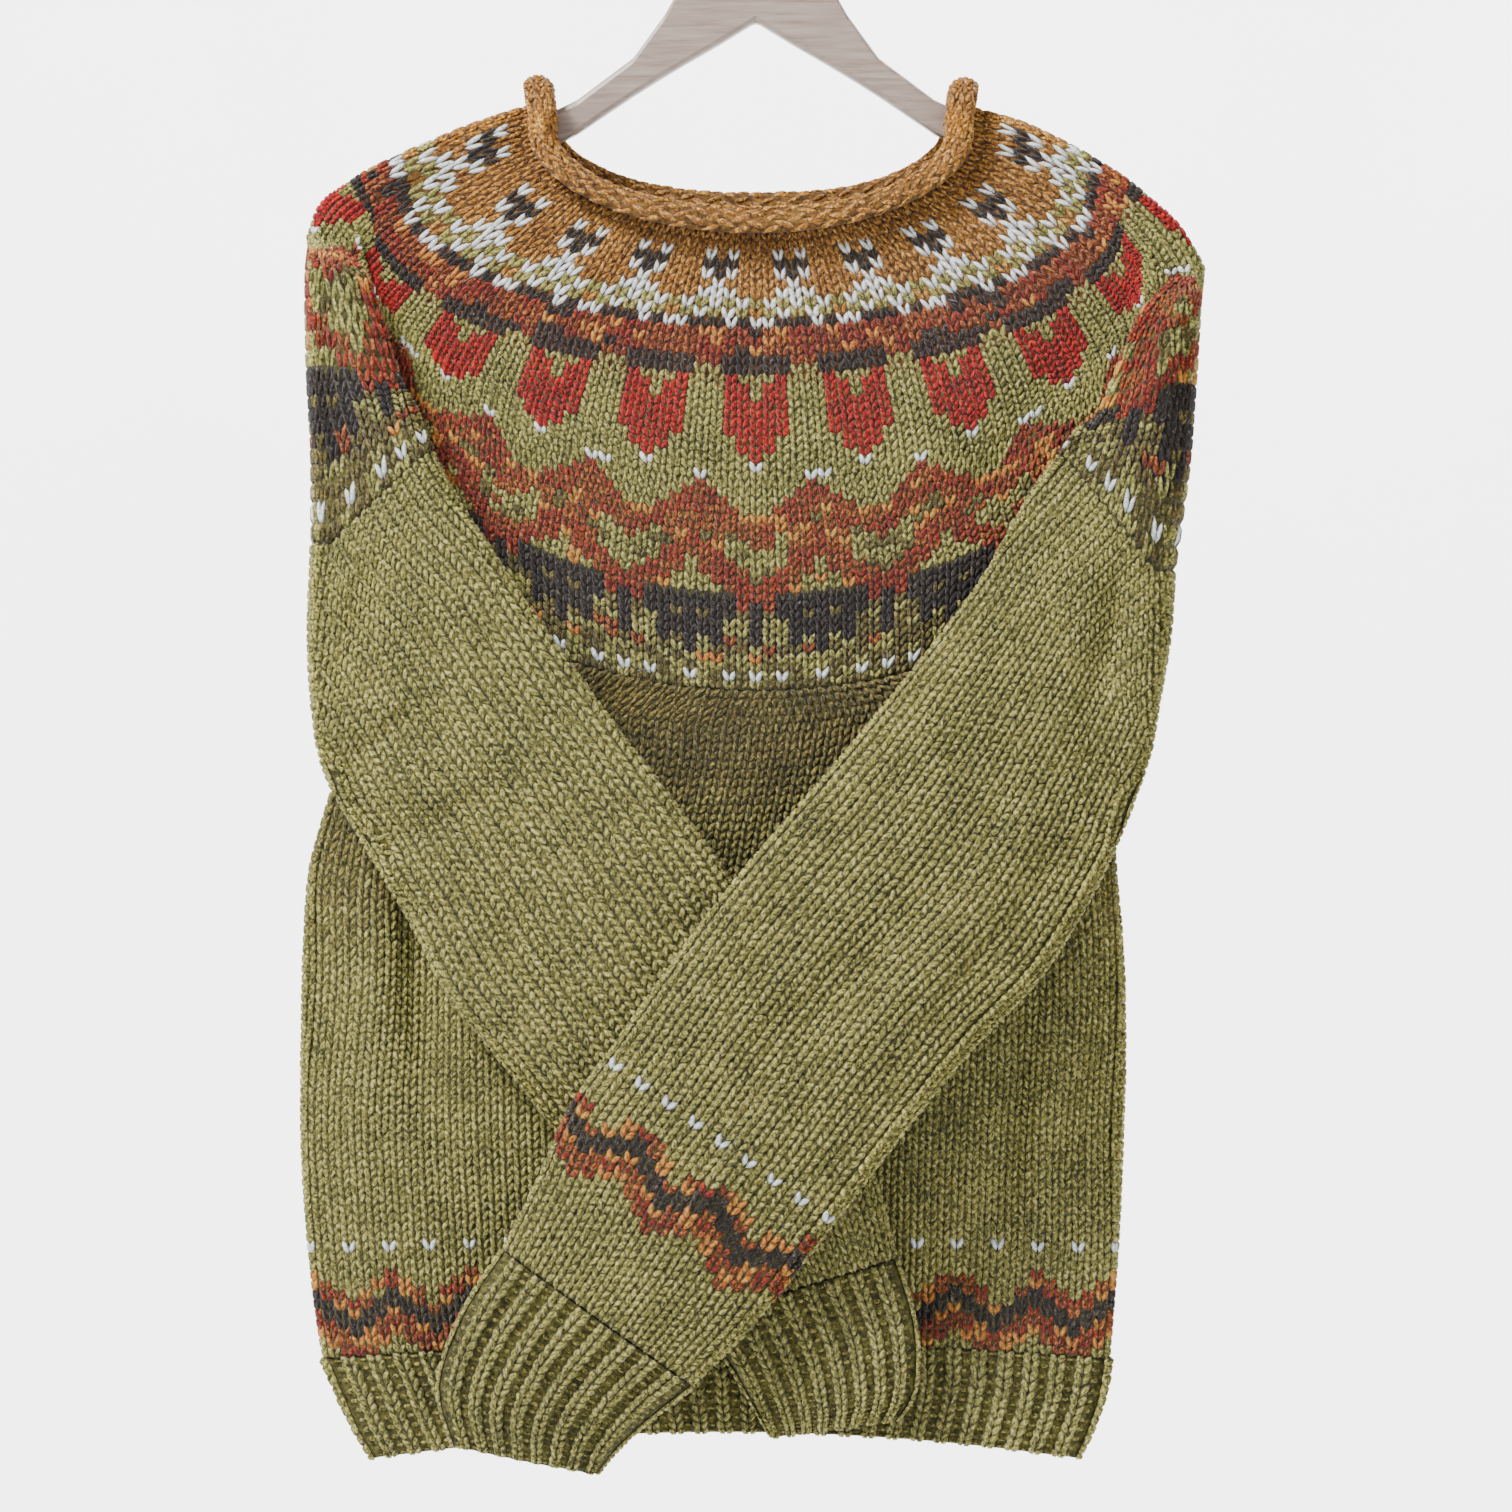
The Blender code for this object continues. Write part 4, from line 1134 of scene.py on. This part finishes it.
sleeveKnit = dict(
    count=36, rows=dict(left=96, right=102), fibres=(2000,), whiteEvery=2, flat=(0.28, 0.46),
    # how many rows higher than the body's the patterned band is
    bandRise=11,
    creases=dict(
        left=(
            crease(-196, 300, 8, 34, -4.5, -25, bow=0.3),
            crease(-190, 372, 9, 40, -5.0, -55, bow=0.4),
            crease(-160, 410, 10, 46, -4.2, -68, bow=0.3),
            crease(-105, 395, 13, 75, 3.8, 34, bow=0.2),
            crease(-120, 470, 9, 60, -3.8, 36),
        ),
        right=(
            crease(176, 320, 9, 44, -5.0, -12, bow=-0.3),
            crease(182, 400, 9, 34, -5.0, 60, bow=0.3),
            crease(140, 395, 11, 50, -3.5, 66, bow=0.3),
            crease(95, 470, 11, 80, 4.0, -36, bow=-0.2),
            crease(30, 500, 9, 70, -3.8, -44),
            crease(-20, 590, 10, 45, 3.2, -40),
        ),
    ),
)


def makeSleeve(hand, table, node):
    rings = [lowered(firstSleeveRing(yokeRings[-1], hand), form["seamGap"])]
    rings += sleeveRows(table["rings"], hand)
    cuff = ribRings(sleeveRows(table["cuff"], hand), rib["cuff"]["ribs"])
    if hand == "right":
        rings = [list(reversed(ring)) for ring in rings]
        cuff = [list(reversed(ring)) for ring in cuff]
    grid = fineGrid(rings)
    grid = creased(grid, gridNormals(grid), sleeveKnit["creases"][hand])
    normals = gridNormals(grid)
    name = hand + "Sleeve"
    shell = clothShell(name + "Cloth", grid, normals, [grounds["green"]])
    rows = sleeveKnit["rows"][hand]
    steps = np.linalg.norm(np.diff(grid, axis=0), axis=2).mean(1)
    lengths = np.concatenate([[0.0], np.cumsum(steps)])
    places = np.interp(bandRows(0.0, lengths[-1], rows), lengths, np.arange(len(grid)))

    def wool(row, stitch):
        return hemBandWool(rows - 1 - row - sleeveKnit["bandRise"], stitch, sleeveKnit["whiteEvery"])

    stitches = Stitches().addBand(grid, normals, places, sleeveKnit["count"], wool)
    pieces = knitAll(name, {"": stitches}, sleeveKnit["fibres"])
    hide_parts(node + "_upper", node + "_lower")
    dressPiece(shell, pieces, grid)
    ribPiece(hand + "Cuff", "cuff_" + hand, cuff, **rib["cuff"])


makeSleeve("left", leftSleeve, "sleeve_left")
makeSleeve("right", rightSleeve, "sleeve_right")
print("sleeves knitted")


for nodeName, finish in (("hanger_wood", lacqueredBeech()), ("hanger_hook", nickelPlatedWire())):
    held = bpy.data.objects[nodeName]
    held.data.materials.clear()
    held.data.materials.append(finish)


studio = dict(
    floorDrop=1.30, floorRadius=3.6, wallRadius=4.6, wallHeight=3.4, curve=1.0,
    curveSteps=12, turns=96, airColour="#F4F5F6", airStrength=0.36,
    cameraDistance=3.0, focusY=-0.03, pictureWidth=0.756, pictureTop=-0.1275,
)


# a pale bowl: a round floor that curves up into a wall, with no corner to catch a shadow
def studioBowl():
    profile = [(0.0, 0.0), (studio["floorRadius"], 0.0)]
    for step in range(1, studio["curveSteps"] + 1):
        angle = 0.5 * math.pi * step / studio["curveSteps"]
        reach = studio["floorRadius"] + studio["curve"] * math.sin(angle)
        profile.append((reach, studio["curve"] * (1.0 - math.cos(angle))))
    profile.append((studio["wallRadius"], studio["wallHeight"]))
    turns = studio["turns"]
    angles = 2.0 * math.pi * np.arange(turns) / turns
    points = [(0.0, 0.0, -studio["floorDrop"])]
    for reach, height in profile[1:]:
        points += [(reach * math.cos(a), reach * math.sin(a), height - studio["floorDrop"]) for a in angles]
    faces = [(0, 1 + j, 1 + (j + 1) % turns, -1) for j in range(turns)]
    for ring in range(len(profile) - 2):
        for j in range(turns):
            k = (j + 1) % turns
            low, high = 1 + ring * turns, 1 + (ring + 1) * turns
            faces.append((low + j, high + j, high + k, low + k))
    made, tree, shader, coords = newMaterial("paintedStudioFloor")
    # matt emulsion paint: an even pale tone with a faint roller mottle
    mottle = noise(tree, coords, scale=3.0, detail=2.0)
    stops = [(0.3, "#EDEDED"), (0.7, "#F1F1F0")]
    tree.links.new(colourRamp(tree, mottle, stops), shader.inputs["Base Color"])
    setInputs(shader, {"Roughness": 0.9, "Specular IOR Level": 0.1})
    faces = np.array(faces)
    bowl = meshPiece("studioBowl", np.array(points), faces, np.zeros(len(faces), int), [made])


studioBowl()


def softLight(name, stand, target, size, watts):
    data = bpy.data.lights.new(name, "AREA")
    data.shape = "DISK"
    data.size = size
    data.energy = watts
    made = bpy.data.objects.new(name, data)
    made.location = stand
    made.rotation_euler = (Vector(target) - Vector(stand)).to_track_quat("-Z", "Y").to_euler()
    bpy.context.scene.collection.objects.link(made)


middle = (0.0, 0.0, -0.5)
lights = dict(
    keyLight=dict(stand=(-1.3, -1.25, 1.35), target=middle, size=0.7, watts=118.0),
    fillLight=dict(stand=(1.9, -2.2, -0.2), target=middle, size=1.8, watts=6.0),
    rimLight=dict(stand=(0.6, 2.0, 1.2), target=middle, size=1.4, watts=30.0),
    # two lamps high behind the jumper face away from it and whiten the wall
    wallLightLeft=dict(stand=(-1.1, 1.6, 1.6), target=(-1.4, 4.6, -0.4), size=1.2, watts=300.0),
    wallLightRight=dict(stand=(1.1, 1.6, 1.6), target=(1.4, 4.6, -0.4), size=1.2, watts=300.0),
)
for name, light in lights.items():
    softLight(name, **light)

world = bpy.data.worlds.new("studioAir")
world.use_nodes = True
world.node_tree.nodes["Background"].inputs["Color"].default_value = linear(studio["airColour"])
world.node_tree.nodes["Background"].inputs["Strength"].default_value = studio["airStrength"]
bpy.context.scene.world = world

lens = bpy.data.cameras.new("camera")
lens.type = "PERSP"
lens.sensor_width = 36.0
lens.sensor_fit = "HORIZONTAL"
lens.lens = lens.sensor_width * studio["cameraDistance"] / studio["pictureWidth"]
camera = bpy.data.objects.new("camera", lens)
eyeLevel = studio["pictureTop"] - studio["pictureWidth"] / 2.0
camera.location = (0.0, studio["focusY"] - studio["cameraDistance"], eyeLevel)
camera.rotation_euler = (math.radians(90.0), 0.0, 0.0)
bpy.context.scene.collection.objects.link(camera)
bpy.context.scene.camera = camera
print("studio lit")
